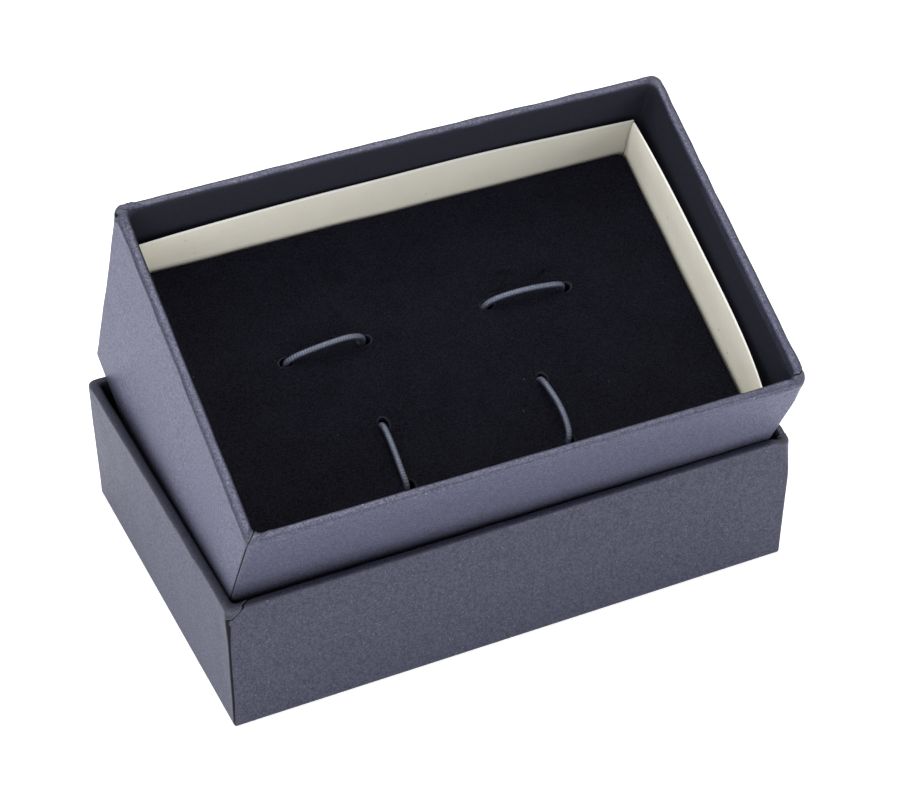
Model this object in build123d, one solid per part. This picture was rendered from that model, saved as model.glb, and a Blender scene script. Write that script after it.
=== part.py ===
from build123d import *
from math import asin, atan2, cos, degrees, radians, sin, sqrt, tan
import os

os.makedirs("parts", exist_ok=True)

# A small two-piece set-up box for cufflinks. The lid lies upturned on the surface, its
# open side up, and the tray is propped in it: front bottom edge on the lid's floor,
# underside over the lid's back rim. Sizes are in millimetres and angles in degrees. The
# lid's frame is the part's frame: X along the length, Y from front to back, Z up, origin
# at the centre of the lid's underside.

# ---- Sheet materials -------------------------------------------------------------------
board = 1.1                 # greyboard of both boxes
paper = 0.15                # covering paper
stay_tape = 0.1             # gummed tape round the board's corners, under the covering
lining_paper = 0.1          # sheet that lines the lid's floor
liner_card = 0.35           # cream card of the liner
platform_card = 0.5         # folded card that carries the pad
core_thickness = 3.0        # foam of the pad
cover_thickness = 0.4       # flocked cover of the pad

# ---- Lid and tray ----------------------------------------------------------------------
lid_length = 90.0
lid_width = 58.2
lid_height = 22.4
tray_height = 42.0
nest_clearance = 0.45       # between the lid's inner walls and the tray, on each side
corner_radius = 1.0         # upright corners, over the paper
bottom_radius = 0.6         # edges round the closed side, over the paper
rim_radius = 0.5            # both edges of the rims, over the paper
lid_turn_in = 15.0          # depth to which the covering is turned into the lid
tray_turn_in = 20.0         # the same in the tray
mitre_slit = 0.1            # gap between mitred turn-ins, and between folded-up walls
mitre_drop = 1.0            # how far a mitre runs down the outside from the rim
stay_leg = 9.0              # width of the corner tape on each of its two walls
stay_setback = 1.0          # the tape ends this far short of the board's rim and floor
lining_margin = 0.3         # the lining sheet is this much short of each wall

# ---- Liner -----------------------------------------------------------------------------
liner_depth = 7.1           # its top edge lies this far below the tray's rim
liner_gap = 0.15            # between the liner and the tray's covered walls
liner_seam = 0.3            # gap where its right wall ends at its back wall

# ---- Pad and platform ------------------------------------------------------------------
pad_depth = 17.4            # the flocked face lies this far below the tray's rim
pad_gap = 0.35              # between the pad and the liner, on each side
pad_edge_radius = 0.8       # rolled edge of the flocked cover
pad_corner_radius = 1.2     # upright corners of the pad
fold_radius = 0.6           # folds between the platform's top and its skirts
skirt_relief = 1.5          # square cut away where the folds of two skirts meet

# ---- Elastic loops ---------------------------------------------------------------------
cord_diameter = 1.1
hole_diameter = 2.0         # punched through cover, foam and platform
exit_radius = 1.35          # bend of the cord's middle line where it leaves a hole
cord_sides = 10             # sides of the section with which cord and knots are drawn
hole_sides = 8              # the same for the holes where foam and platform hide them
knot_diameter = 2.8
knot_ease = 0.7             # flat all round both ends of a knot
knot_tail = 2.0             # cord left below each knot
loop_slack = 1.5            # cord that can be drawn up before the knots meet the card
long_span = 12.8            # between the two holes of a loop along the box
cross_span = 10.5           # between the two holes of a loop across the box
long_from_end = 24.3        # middles of the two loops along the box, from the pad's ends
long_from_back = 19.5       # their line, from the pad's back edge
cross_from_end = 27.95      # lines of the two loops across the box, from the pad's ends
cross_from_front = 11.2     # their middles, from the pad's front edge

# How each loop lies over the flock: the height of its middle line beside the holes and
# halfway between them, and how far it leans to its right there, or with a minus to its left.
left_long_lie = (2.2, 2.8, 0.0)
right_long_lie = (1.7, 2.3, 0.0)
left_cross_lie = (0.8, 0.95, 0.15)
right_cross_lie = (1.5, 2.0, -0.3)

# ---- Resting clearances ----------------------------------------------------------------
seat_gap = 0.05             # between a piece and the flat face that it rests on
rub_gap = 0.15              # between the askew tray and the lid where they are closest

# ---- Worked out ------------------------------------------------------------------------
wall = paper + stay_tape + board + paper
floor = paper + board
lid_floor = floor + lining_paper
lid_inner_length = lid_length - 2 * wall
lid_inner_width = lid_width - 2 * wall
tray_length = lid_inner_length - 2 * nest_clearance
tray_width = lid_inner_width - 2 * nest_clearance
liner_length = tray_length - 2 * (wall + liner_gap)
liner_width = tray_width - 2 * (wall + liner_gap)
liner_top = tray_height - liner_depth
pad_length = liner_length - 2 * (liner_card + pad_gap)
pad_width = liner_width - 2 * (liner_card + pad_gap)
pad_top = tray_height - pad_depth
core_top = pad_top - cover_thickness
platform_top = core_top - core_thickness
platform_under = platform_top - platform_card
insert_foot = floor + seat_gap
past = 1.0                  # how far a cutting tool runs past the face that it cuts
near = 0.01                 # margin of a test for edges that lie at one place
first_tilt = 25.0           # where the search for the tray's tilt starts
settling_rounds = 60        # rounds of that search
run_share = 0.45            # part of a straight run that its bend may use


# ---- Where the propped tray comes to rest ----------------------------------------------
def rest_of_tray():
    """Yaw, tilt and front bottom edge of the tray, propped askew in the lid.

    The yaw uses up the nesting clearance. The tilt is the one at which the rounded front
    bottom edge meets the lid's floor while the underside meets the back rim and the front
    face meets the front rim. A lid too deep for that holds the tray at 45 degrees.
    """
    yaw = asin(2 * (nest_clearance - rub_gap) / lid_inner_width)
    end_shift = tray_length / 2 * sin(yaw)
    span = lid_inner_width + 2 * rim_radius
    tilt = radians(first_tilt)
    for _ in range(settling_rounds):
        front_reach = rim_radius + rub_gap + end_shift * cos(tilt)
        back_reach = rim_radius + rub_gap + end_shift * sin(tilt)
        edge_lift = bottom_radius * (sin(tilt) + cos(tilt) - 1)
        drop = lid_height - rim_radius - (lid_floor + seat_gap - edge_lift)
        reach = back_reach * cos(tilt) + front_reach * sin(tilt) + drop
        tilt = asin(min(1.0, 2 * reach / span)) / 2
    drop = span * sin(tilt) * cos(tilt) - back_reach * cos(tilt) - front_reach * sin(tilt)
    edge_y = -span / 2 + (front_reach + drop * sin(tilt)) / cos(tilt)
    return degrees(yaw), degrees(tilt), edge_y, lid_height - rim_radius - drop


tray_yaw, tray_tilt, edge_y, edge_z = rest_of_tray()
tray_place = Rot(Z=-tray_yaw) * Pos(0, edge_y, edge_z) * Rot(X=tray_tilt) * Pos(0, tray_width / 2, 0)


# ---- Set-up boxes ----------------------------------------------------------------------
def crushed(edges, radius):
    """Board edges crushed flat, just inside the paper that is rounded over them."""
    return chamfer(edges, radius * (2 - sqrt(2)))


def eased_block(length, width, low, high, radius, ease):
    """Upright block about the Z axis, with its upright corners rounded or crushed."""
    body = Pos(0, 0, (low + high) / 2) * Box(length, width, high - low)
    return ease(body.edges().filter_by(Axis.Z), radius)


def four_corners(length, width):
    """Places at the corners of a rectangle, each with its X axis pointing outwards."""
    return [
        Pos(x_side * length / 2, y_side * width / 2, 0) * Rot(Z=degrees(atan2(y_side, x_side)))
        for x_side in (-1, 1)
        for y_side in (-1, 1)
    ]


def mitre_plate(inwards, outwards, low, high):
    """Thin upright plate along X that cuts a slit through a corner."""
    return Pos((outwards - inwards) / 2, 0, (low + high) / 2) * Box(
        inwards + outwards, mitre_slit, high - low
    )


def open_box(length, width, height, side_inset, end_inset, thickness, ease):
    """Open box within a set-up box of the given outer size, with all its edges eased."""
    rim = height - end_inset
    outer_length = length - 2 * side_inset
    outer_width = width - 2 * side_inset
    inner_length = outer_length - 2 * thickness
    inner_width = outer_width - 2 * thickness
    body = eased_block(outer_length, outer_width, end_inset, rim, corner_radius - side_inset, ease)
    body = ease(body.edges().group_by(Axis.Z)[0], bottom_radius - side_inset)
    body = ease(body.edges().group_by(Axis.Z)[-1], rim_radius - side_inset)
    depth = rim + past - floor
    body -= Pos(0, 0, floor + depth / 2) * Box(inner_length, inner_width, depth)
    inner_edges = body.edges().group_by(Axis.Z)[-1].filter_by(
        lambda edge: abs(edge.center().X) < inner_length / 2 + near
        and abs(edge.center().Y) < inner_width / 2 + near
    )
    return ease(inner_edges, rim_radius - end_inset)


def greyboard(length, width, height):
    """Scored blank folded up into a box, its four walls parted at the corners."""
    body = open_box(length, width, height, paper + stay_tape, paper, board, crushed)
    slit = mitre_plate(past, board * sqrt(2) + past, floor, height)
    for corner in four_corners(length - 2 * (wall - paper), width - 2 * (wall - paper)):
        body -= corner * slit
    return body


def covering(length, width, height, turn_in):
    """Paper pasted over the outside, wrapped over the rim and turned in, with mitred corners."""
    body = open_box(length, width, height, 0, 0, wall, fillet)
    body -= open_box(length, width, height, paper, paper, stay_tape + board, crushed)
    inner_length = length - 2 * wall
    inner_width = width - 2 * wall
    bare_depth = height - turn_in - floor
    body -= Pos(0, 0, floor + bare_depth / 2) * Box(
        inner_length + 2 * paper, inner_width + 2 * paper, bare_depth
    )
    turn_in_slit = mitre_plate(past, paper * sqrt(2), height - turn_in - past, height + past)
    rim_slit = mitre_plate(past, wall * sqrt(2) + past, height - mitre_drop, height + past)
    for corner in four_corners(inner_length, inner_width):
        body -= corner * turn_in_slit
        body -= corner * rim_slit
    return body


def corner_stays(length, width, height):
    """Gummed tape folded round each upright corner of the board."""
    low = paper + bottom_radius + stay_setback
    high = height - paper - stay_setback
    outer, inner = (
        eased_block(length - 2 * inset, width - 2 * inset, low, high, corner_radius - inset, crushed)
        for inset in (paper, paper + stay_tape)
    )
    reach = Box(2 * stay_leg, 2 * stay_leg, 2 * height)
    band = outer - inner
    return Compound(
        [
            band & Pos(x_side * length / 2, y_side * width / 2, 0) * reach
            for x_side in (-1, 1)
            for y_side in (-1, 1)
        ]
    )


def lid_floor_lining():
    """Paper sheet that lines the lid's floor."""
    return Pos(0, 0, floor + lining_paper / 2) * Box(
        lid_inner_length - 2 * lining_margin, lid_inner_width - 2 * lining_margin, lining_paper
    )


# ---- Liner, platform and pad, in the tray's frame --------------------------------------
def liner_panel(turn, along, across, start, end):
    """One panel of the liner, turned to its wall. Each end is set back by an outer and an inner cut."""
    half = along / 2
    outer_y = across / 2
    inner_y = outer_y - liner_card
    plan = make_face(
        Polyline(
            (start[0] - half, outer_y),
            (half - end[0], outer_y),
            (half - end[1], inner_y),
            (start[1] - half, inner_y),
            close=True,
        )
    )
    return Rot(Z=turn) * extrude(Pos(0, 0, insert_foot) * plan, liner_top - insert_foot)


def folded_liner():
    """Card strip folded round the inside of the tray, drawn as its four panels.

    The panels are mitred at the folds. The strip's ends meet in the back right corner, where
    the right panel stops short of the back one.
    """
    fold = (0, liner_card)
    square = (0, 0)
    short = (liner_card + liner_seam, liner_card + liner_seam)
    return Compound(
        [
            liner_panel(0, liner_length, liner_width, fold, square),
            liner_panel(90, liner_width, liner_length, fold, fold),
            liner_panel(180, liner_length, liner_width, fold, fold),
            liner_panel(270, liner_width, liner_length, short, fold),
        ]
    )


def hole_places():
    """Middles of the two holes of each elastic loop, named by the loop."""
    long_x = pad_length / 2 - long_from_end
    long_y = pad_width / 2 - long_from_back
    cross_x = pad_length / 2 - cross_from_end
    cross_y = cross_from_front - pad_width / 2
    long_half = Vector(long_span / 2, 0)
    cross_half = Vector(0, -cross_span / 2)
    middles = {
        "back_left": (Vector(-long_x, long_y), long_half),
        "back_right": (Vector(long_x, long_y), long_half),
        "front_left": (Vector(-cross_x, cross_y), cross_half),
        "front_right": (Vector(cross_x, cross_y), cross_half),
    }
    return {name: (middle - half, middle + half) for name, (middle, half) in middles.items()}


def punched(body, section):
    """The body with the loops' holes of the given section through it."""
    punch = extrude(section, tray_height)
    for pair in hole_places().values():
        for hole in pair:
            body -= Pos(hole.X, hole.Y, 0) * punch
    return body


def folded_platform():
    """Card table with four skirts that stand on the tray's floor."""
    height = platform_top - insert_foot
    body = Pos(0, 0, insert_foot + height / 2) * Box(pad_length, pad_width, height)
    body = fillet(body.edges().group_by(Axis.Z)[-1], fold_radius)
    under = platform_under - insert_foot
    body -= Pos(0, 0, insert_foot + under / 2) * Box(
        pad_length - 2 * platform_card, pad_width - 2 * platform_card, under
    )
    relief = Box(2 * skirt_relief, 2 * skirt_relief, 2 * tray_height)
    for x_side in (-1, 1):
        for y_side in (-1, 1):
            body -= Pos(x_side * pad_length / 2, y_side * pad_width / 2, 0) * relief
    return punched(body, hidden_hole)


def pad_solid(inset, top, ease):
    """Outside of the pad, or of its core, with a rolled or crushed upper edge."""
    length = pad_length - 2 * inset
    width = pad_width - 2 * inset
    body = eased_block(length, width, platform_top, top, pad_corner_radius - inset, ease)
    return ease(body.edges().group_by(Axis.Z)[-1], pad_edge_radius - inset)


def knot(hole, middle_height):
    """Knot at the end of a cord, under the platform."""
    section = Pos(hole.X, hole.Y, middle_height) * RegularPolygon(knot_diameter / 2, cord_sides)
    body = extrude(section, knot_diameter / 2, both=True)
    ends = body.edges().group_by(Axis.Z)[0] + body.edges().group_by(Axis.Z)[-1]
    return chamfer(ends, knot_ease)


def elastic_loop(first, second, lie):
    """Cord that rises through one hole, lies over the flock and goes down through the other.

    Each end is knotted under the platform, with the loop's slack above the knot.
    """
    shoulder, crown, lean = lie
    knot_middle = platform_under - loop_slack - knot_diameter / 2
    foot = Vector(0, 0, knot_middle - knot_diameter / 2 - knot_tail)
    along = (second - first).normalized()
    rightwards = along.cross(Vector(0, 0, 1))
    middle = (first + second) / 2 + rightwards * lean + Vector(0, 0, pad_top + crown)
    first_shoulder = first + Vector(0, 0, pad_top + shoulder)
    second_shoulder = second + Vector(0, 0, pad_top + shoulder)
    run = (middle - first_shoulder).length
    turn = (middle - first_shoulder).get_angle(second_shoulder - middle)
    crown_radius = run_share * run / tan(radians(turn / 2))
    route = FilletPolyline(
        first + foot,
        first_shoulder,
        middle,
        second_shoulder,
        second + foot,
        radius=[exit_radius, crown_radius, exit_radius],
    )
    section = RegularPolygon(cord_diameter / 2, cord_sides)
    body = sweep(Plane(route @ 0, z_dir=route % 0) * section, route)
    print("bend radii", exit_radius, round(crown_radius, 2), exit_radius)
    print("cord", round(body.volume, 3), "expected", round(section.area * route.length, 3))
    return body + knot(first, knot_middle) + knot(second, knot_middle)


# ---- Pieces ----------------------------------------------------------------------------
round_hole = Circle(hole_diameter / 2)
hidden_hole = RegularPolygon(hole_diameter / 2, hole_sides, major_radius=False)
core = pad_solid(cover_thickness, core_top, crushed)
lies = {
    "back_left": left_long_lie,
    "back_right": right_long_lie,
    "front_left": left_cross_lie,
    "front_right": right_cross_lie,
}
lid_pieces = {
    "lid_board": greyboard(lid_length, lid_width, lid_height),
    "lid_corner_stays": corner_stays(lid_length, lid_width, lid_height),
    "lid_covering": covering(lid_length, lid_width, lid_height, lid_turn_in),
    "lid_floor_lining": lid_floor_lining(),
}
tray_pieces = {
    "tray_board": greyboard(tray_length, tray_width, tray_height),
    "tray_corner_stays": corner_stays(tray_length, tray_width, tray_height),
    "tray_covering": covering(tray_length, tray_width, tray_height, tray_turn_in),
    "liner": folded_liner(),
    "pad_platform": folded_platform(),
    "pad_core": punched(core, hidden_hole),
    "pad_cover": punched(pad_solid(0, pad_top, fillet) - core, round_hole),
}
for name, (first, second) in hole_places().items():
    tray_pieces["elastic_loop_" + name] = elastic_loop(first, second, lies[name])

for name, piece in lid_pieces.items():
    export_step(piece, f"parts/{name}.step")
for name, piece in tray_pieces.items():
    export_step(tray_place * piece, f"parts/{name}.step")
print("yaw", round(tray_yaw, 4), "tilt", round(tray_tilt, 4), "edge", round(edge_y, 4), round(edge_z, 4))
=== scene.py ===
"""Small set-up box for a pair of cufflinks, its tray propped askew in the upturned lid."""

import logging
import math
from dataclasses import dataclass
from enum import IntEnum

import bpy
import numpy as np
from numpy.polynomial import Polynomial
from mathutils import Matrix, Vector


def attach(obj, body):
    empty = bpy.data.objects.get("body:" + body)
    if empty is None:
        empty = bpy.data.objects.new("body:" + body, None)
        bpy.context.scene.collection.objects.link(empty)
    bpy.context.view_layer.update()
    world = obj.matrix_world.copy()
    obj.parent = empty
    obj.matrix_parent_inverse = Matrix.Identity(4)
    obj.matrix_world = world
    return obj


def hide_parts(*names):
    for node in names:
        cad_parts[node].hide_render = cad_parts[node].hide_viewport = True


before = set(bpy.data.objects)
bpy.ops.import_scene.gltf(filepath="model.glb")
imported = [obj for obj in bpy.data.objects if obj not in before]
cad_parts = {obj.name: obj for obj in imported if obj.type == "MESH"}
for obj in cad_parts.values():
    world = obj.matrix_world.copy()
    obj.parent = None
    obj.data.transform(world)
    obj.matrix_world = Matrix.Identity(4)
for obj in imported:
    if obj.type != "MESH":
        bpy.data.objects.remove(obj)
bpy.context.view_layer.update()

Array = np.ndarray
Piece = bpy.types.Object
Material = bpy.types.Material
Socket = bpy.types.NodeSocket
Colour = tuple[float, float, float]
FourSides = tuple[float, float, float, float]
FourCorners = tuple[float, float, float, float]

MM = 0.001
RIPPLE_WAVES = 14
log = logging.getLogger("cufflink_box")


# ---- Surfaces ----------------------------------------------------------------------------


def smooth_step(value: Array, low: float, high: float) -> Array:
    """Rises smoothly from 0 at low to 1 at high.

    Args:
        value: Numbers to be mapped.
        low: Where the rise starts.
        high: Where it ends.

    Returns:
        3x^2 - 2x^3 of the share of the way from low to high.
    """
    share = np.clip((np.asarray(value, float) - low) / (high - low), 0.0, 1.0)
    return share * share * (3.0 - 2.0 * share)


def bell(value: Array, width: float) -> Array:
    """Bell curve of height 1: exp(-(value / width)^2)."""
    return np.exp(-((np.asarray(value, float) / width) ** 2))


def ripple(
    along: Array, across: Array, period: float, seed: int, coarse: int, fine: int
) -> Array:
    """Gentle unevenness: a sum of sine waves in drawn directions.

    Args:
        along: Distance round the piece, in millimetres.
        across: Distance over it, in millimetres.
        period: Length after which the pattern repeats along the first distance.
        seed: Seed of the draws.
        coarse: Fewest waves in one period.
        fine: Most waves in one period.

    Returns:
        The sum of the waves at each point, scaled to lie mostly between -1 and 1.
    """
    draw = np.random.default_rng(seed)
    total = np.zeros(np.broadcast(along, across).shape)
    for _ in range(RIPPLE_WAVES):
        turns = draw.integers(coarse, fine) * draw.choice((-1, 1))
        cross = draw.uniform(-fine, fine) / period
        phase = draw.uniform(0.0, 2.0 * math.pi)
        total += np.sin(2.0 * math.pi * (along * turns / period + across * cross) + phase)
    return total / math.sqrt(RIPPLE_WAVES)


def of_length_one(vectors: Array) -> Array:
    """Vectors, in the last axis of the array, scaled to length 1."""
    return vectors / np.linalg.norm(vectors, axis=-1, keepdims=True)


def turned(x: Array, y: Array, degrees: float) -> tuple[Array, Array]:
    """Distances along and across a direction that is turned by an angle from X towards Y."""
    turn = math.radians(degrees)
    return x * math.cos(turn) + y * math.sin(turn), y * math.cos(turn) - x * math.sin(turn)


def over_plan(plan: Array, length: float, width: float) -> Array:
    """Coordinates of the plan from -1 to 1, over a box's length and width."""
    return 2.0 * plan / np.array((length, width))


@dataclass(frozen=True)
class Stance:
    """How a box stands: tipped about its front bottom edge, set down, and turned about Z."""

    half_width: float
    edge_y: float
    edge_z: float = 0.0
    tilt: float = 0.0
    yaw: float = 0.0

    def place(self, points: Array) -> Array:
        """Takes points from the box's own frame to the shared one.

        Args:
            points: Points in millimetres, in the last axis of the array.

        Returns:
            The points tipped by the tilt, moved to the resting edge and turned by the yaw.
        """
        tip, turn = math.radians(self.tilt), math.radians(self.yaw)
        x, y, z = points[..., 0], points[..., 1] + self.half_width, points[..., 2]
        deep = y * math.cos(tip) - z * math.sin(tip) + self.edge_y
        high = y * math.sin(tip) + z * math.cos(tip) + self.edge_z
        return np.stack(
            (
                x * math.cos(turn) + deep * math.sin(turn),
                deep * math.cos(turn) - x * math.sin(turn),
                high,
            ),
            axis=-1,
        )


def put_in_scene(name: str, data: bpy.types.ID) -> Piece:
    """Makes an object from a mesh, curve, light or camera and puts it in the scene."""
    holder = bpy.data.objects.new(name, data)
    bpy.context.scene.collection.objects.link(holder)
    return holder


@dataclass
class Skin:
    """Points and faces of a piece in its box's frame, with masks that its finish reads."""

    points: Array
    faces: list
    masks: dict[str, Array]

    def piece(
        self, name: str, stance: Stance, material: Material, body: str, slot: str
    ) -> Piece:
        """Makes the piece as a smooth mesh that rides on its body.

        Args:
            name: Name of the piece.
            stance: How the box that it belongs to stands.
            material: Its finish.
            body: Body that it moves with.
            slot: Name of a material slot; not used.

        Returns:
            The new object, at the origin.
        """
        mesh = bpy.data.meshes.new(name)
        mesh.from_pydata((stance.place(self.points) * MM).tolist(), [], self.faces)
        for mask, values in self.masks.items():
            attribute = mesh.attributes.new(mask, "FLOAT", "POINT")
            attribute.data.foreach_set("value", np.ascontiguousarray(values, np.float32).ravel())
        mesh.polygons.foreach_set("use_smooth", np.ones(len(mesh.polygons), bool))
        mesh.materials.append(material)
        mesh.update()
        piece = put_in_scene(name, mesh)
        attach(piece, body)
        log.info("%s: %d faces on %s", name, len(mesh.polygons), body)
        return piece


def grid_faces(rows: int, columns: int, wrap_rows: bool, wrap_columns: bool) -> Array:
    """Faces of a grid whose points are numbered row by row.

    Args:
        rows: Number of rows.
        columns: Number of points in each row.
        wrap_rows: Whether the last row joins the first.
        wrap_columns: Whether the last column joins the first.

    Returns:
        Four point numbers for each face. They run along the columns first and then the rows.
    """
    row = np.arange(rows if wrap_rows else rows - 1)[:, None]
    column = np.arange(columns if wrap_columns else columns - 1)[None, :]
    next_row, next_column = (row + 1) % rows, (column + 1) % columns
    corners = (
        row * columns + column,
        row * columns + next_column,
        next_row * columns + next_column,
        next_row * columns + column,
    )
    return np.stack(np.broadcast_arrays(*corners), axis=-1).reshape(-1, 4)


def fan_faces(ring: Array, tip: int) -> Array:
    """Triangles that close a ring of points with one point in its middle.

    Args:
        ring: Point numbers round the ring, in the way that the triangles are to run.
        tip: Number of the point in the middle.

    Returns:
        Three point numbers for each step of the ring.
    """
    return np.stack((np.full(len(ring), tip), ring, np.roll(ring, -1)), axis=-1)


def tube_faces(rows: int, columns: int, tips: int) -> list:
    """Faces of a grid whose columns join, with its first row closed, or its first and last.

    Args:
        rows: Number of rows.
        columns: Number of points in each row.
        tips: Number of closed ends, 1 or 2. Their middles are numbered after the grid.

    Returns:
        Point numbers of each face.
    """
    faces = grid_faces(rows, columns, False, True).tolist()
    first, last = np.arange(columns)[::-1], (rows - 1) * columns + np.arange(columns)
    for number, ring in enumerate((first, last)[:tips]):
        faces += fan_faces(ring, rows * columns + number).tolist()
    return faces


def ring_of(sides: int) -> Array:
    """Angles of evenly spaced points round a full turn."""
    return 2.0 * math.pi * np.arange(sides) / sides


def stiffen(piece: Piece, thickness: float) -> None:
    """Gives a single-layer piece its thickness, inwards from its outer face."""
    solid = piece.modifiers.new("thickness", "SOLIDIFY")
    solid.thickness = thickness * MM
    solid.offset = -1.0
    solid.use_rim = True


# ---- Walk round a box --------------------------------------------------------------------


class Corner(IntEnum):
    """Corners of a box, in the order in which its walls are walked."""

    FRONT_LEFT = 0
    FRONT_RIGHT = 1
    BACK_RIGHT = 2
    BACK_LEFT = 3


CORNER_SIGNS = np.array(((-1, -1), (1, -1), (1, 1), (-1, 1)), float)


@dataclass(frozen=True)
class Walk:
    """Way round a rounded rectangle: front, right, back and left side, each with its corner."""

    length: float
    width: float
    radius: float

    def edges(self) -> Array:
        """Distances at which the eight stretches start and end."""
        arc = math.pi * self.radius / 2.0
        sides = (self.length, self.width, self.length, self.width)
        steps = [step for side in sides for step in (side - 2.0 * self.radius, arc)]
        return np.concatenate(([0.0], np.cumsum(steps)))

    def around(self) -> float:
        """Whole way round."""
        return float(self.edges()[-1])

    def corner_at(self, corner: Corner) -> float:
        """Distance at which the middle of a corner lies."""
        step = (2 * int(corner) - 1) % 8
        edges = self.edges()
        return float(edges[step] + edges[step + 1]) / 2.0

    def from_corner(self, distance: Array, corner: Corner) -> Array:
        """Signed distance from a corner's middle, the shorter way round."""
        half = self.around() / 2.0
        return (distance - self.corner_at(corner) + half) % (2.0 * half) - half

    def stretch(self, distance: Array) -> tuple[Array, Array]:
        """Stretch that each distance lies in, and the share of it that is behind.

        Args:
            distance: Distances along the walk.

        Returns:
            Numbers from 0 to 7, even on the sides and odd at the corners, and shares.
        """
        edges = self.edges()
        distance = distance % edges[-1]
        number = np.clip(np.searchsorted(edges, distance, side="right") - 1, 0, 7)
        return number, (distance - edges[number]) / (edges[number + 1] - edges[number])

    def outward(self, distance: Array) -> Array:
        """Outward direction in plan at each distance."""
        number, share = self.stretch(distance)
        angle = np.radians(-90.0 + 90.0 * (number // 2 + np.where(number % 2, share, 0.0)))
        return np.stack((np.cos(angle), np.sin(angle)), axis=-1)

    def by_side(self, values: tuple, distance: Array) -> Array:
        """Value of each side, blended round the corners.

        Args:
            values: Values of the front, right, back and left side.
            distance: Distances along the walk.

        Returns:
            The value at each distance.
        """
        number, share = self.stretch(distance)
        blend = np.where(number % 2, share, 0.0)
        values, side = np.array(values, float), number // 2
        return values[side] * (1.0 - blend) + values[(side + 1) % 4] * blend

    def by_corner(self, values: tuple, distance: Array) -> Array:
        """Value at each distance, changing evenly from corner to corner.

        Args:
            values: Values at the four corners, in the order of the walk.
            distance: Distances along the walk.

        Returns:
            The value at each distance.
        """
        places = [self.corner_at(corner) for corner in Corner]
        return np.interp(distance, places, values, period=self.around())

    def middle(self, distance: Array) -> Array:
        """Closeness to the middle of a side: a parabola, 1 there and 0 at its corners."""
        number, share = self.stretch(distance)
        return np.where(number % 2, 0.0, 1.0 - (2.0 * share - 1.0) ** 2)

    def plan(self, distance: Array, inset: Array, radius: Array) -> Array:
        """Points round the walls.

        A point is the centre of its corner's arc, carried straight along a side, plus the
        arc's radius in the outward direction.

        Args:
            distance: Distance along the walk of each column, or of each point.
            inset: How far inside the outer faces each point lies, by row and column.
            radius: Corner radius at each point, by row and column.

        Returns:
            Points in plan, by row and column.
        """
        number, share = self.stretch(distance)
        side, at_corner = number // 2, number % 2 == 1
        start = CORNER_SIGNS[np.where(at_corner, (side + 1) % 4, side)]
        end = CORNER_SIGNS[(side + 1) % 4]
        signs = start + (end - start) * share[..., None]
        reach = np.stack(
            (self.length / 2.0 - inset - radius, self.width / 2.0 - inset - radius), axis=-1
        )
        return signs * reach + radius[..., None] * self.outward(distance)


@dataclass(frozen=True)
class Profile:
    """Line carried round a box: inset from the outer face, height, and share of the plan."""

    inset: Array
    height: Array
    share: Array

    def over(self) -> Array:
        """Distance along the line."""
        steps = np.hypot(np.diff(self.inset), np.diff(self.height))
        return np.concatenate(([0.0], np.cumsum(steps)))

    def past_rim(self) -> Array:
        """Distance along the line past its highest point, as a column."""
        over = self.over()
        return (over - over[np.argmax(self.height)])[:, None]

    def facing(self) -> tuple[Array, Array]:
        """Outward direction at each point of the line, as a step of inset and of height."""
        inset, height = np.gradient(self.inset), np.gradient(self.height)
        length = np.hypot(inset, height)
        flat = length < 1e-9
        length = np.where(flat, 1.0, length)
        return -height / length, np.where(flat, 0.0, inset / length)


def quarter(
    inset: float, height: float, radius: float, start: float, steps: int
) -> tuple[Array, Array]:
    """Quarter of a circle in a box's profile, turning from outwards over upwards to inwards.

    Args:
        inset: Inset of its centre.
        height: Height of its centre.
        radius: Its radius.
        start: Direction in which it starts: -90 is down, 0 outwards and 90 up.
        steps: Number of steps.

    Returns:
        Insets and heights of its points.
    """
    angle = np.radians(start + np.linspace(0.0, 90.0, steps + 1))
    return inset - radius * np.cos(angle), height + radius * np.sin(angle)


def join_profile(parts: list[tuple[Array, Array]], closed: bool) -> Profile:
    """Joins lines and arcs into one profile that starts in the middle of the underside.

    Args:
        parts: Insets and heights of each part, in order.
        closed: Whether the profile also ends in the middle, on the floor inside.

    Returns:
        The profile.
    """
    inset = np.concatenate([part[0] for part in parts])
    height = np.concatenate([part[1] for part in parts])
    keep = np.concatenate(([True], np.hypot(np.diff(inset), np.diff(height)) > 1e-6))
    inset, height = inset[keep], height[keep]
    towards_middle = np.array((0.3, 0.6, 0.85, 0.97))
    share = np.concatenate((towards_middle, np.ones(len(inset))))
    inset = np.concatenate((np.full(len(towards_middle), inset[0]), inset))
    height = np.concatenate((np.full(len(towards_middle), height[0]), height))
    if closed:
        share = np.concatenate((share, towards_middle[::-1]))
        inset = np.concatenate((inset, np.full(len(towards_middle), inset[-1])))
        height = np.concatenate((height, np.full(len(towards_middle), height[-1])))
    return Profile(inset, height, share)


# ---- Set-up boxes ------------------------------------------------------------------------


# Columns of a box's grid: their number on a long side and on any other stretch, their places
# near a corner, those before a seam, and those beyond it as multiples of its gap.
LONG_SIDE_COLUMNS, STRETCH_COLUMNS = 27, 19
NEAR_CORNER = np.concatenate((np.arange(-5.0, 5.01, 0.33), np.arange(-3.0, 2.41, 0.13)))
BEFORE_SEAM = (-0.6, -0.32)
BEYOND_SEAM = np.array((0.2, 0.6, 0.95, 1.15, 1.6, 3.0))
CLOSEST_COLUMNS = 0.02

# A seam's line shifts the columns fully up to the first distance and not at all past the
# second. Its flare starts at a depth below the rim and is full after its run.
SEAM_REACH = (1.4, 6.0)
FLARE_DEPTH, FLARE_RUN = 2.0, 1.85

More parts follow.
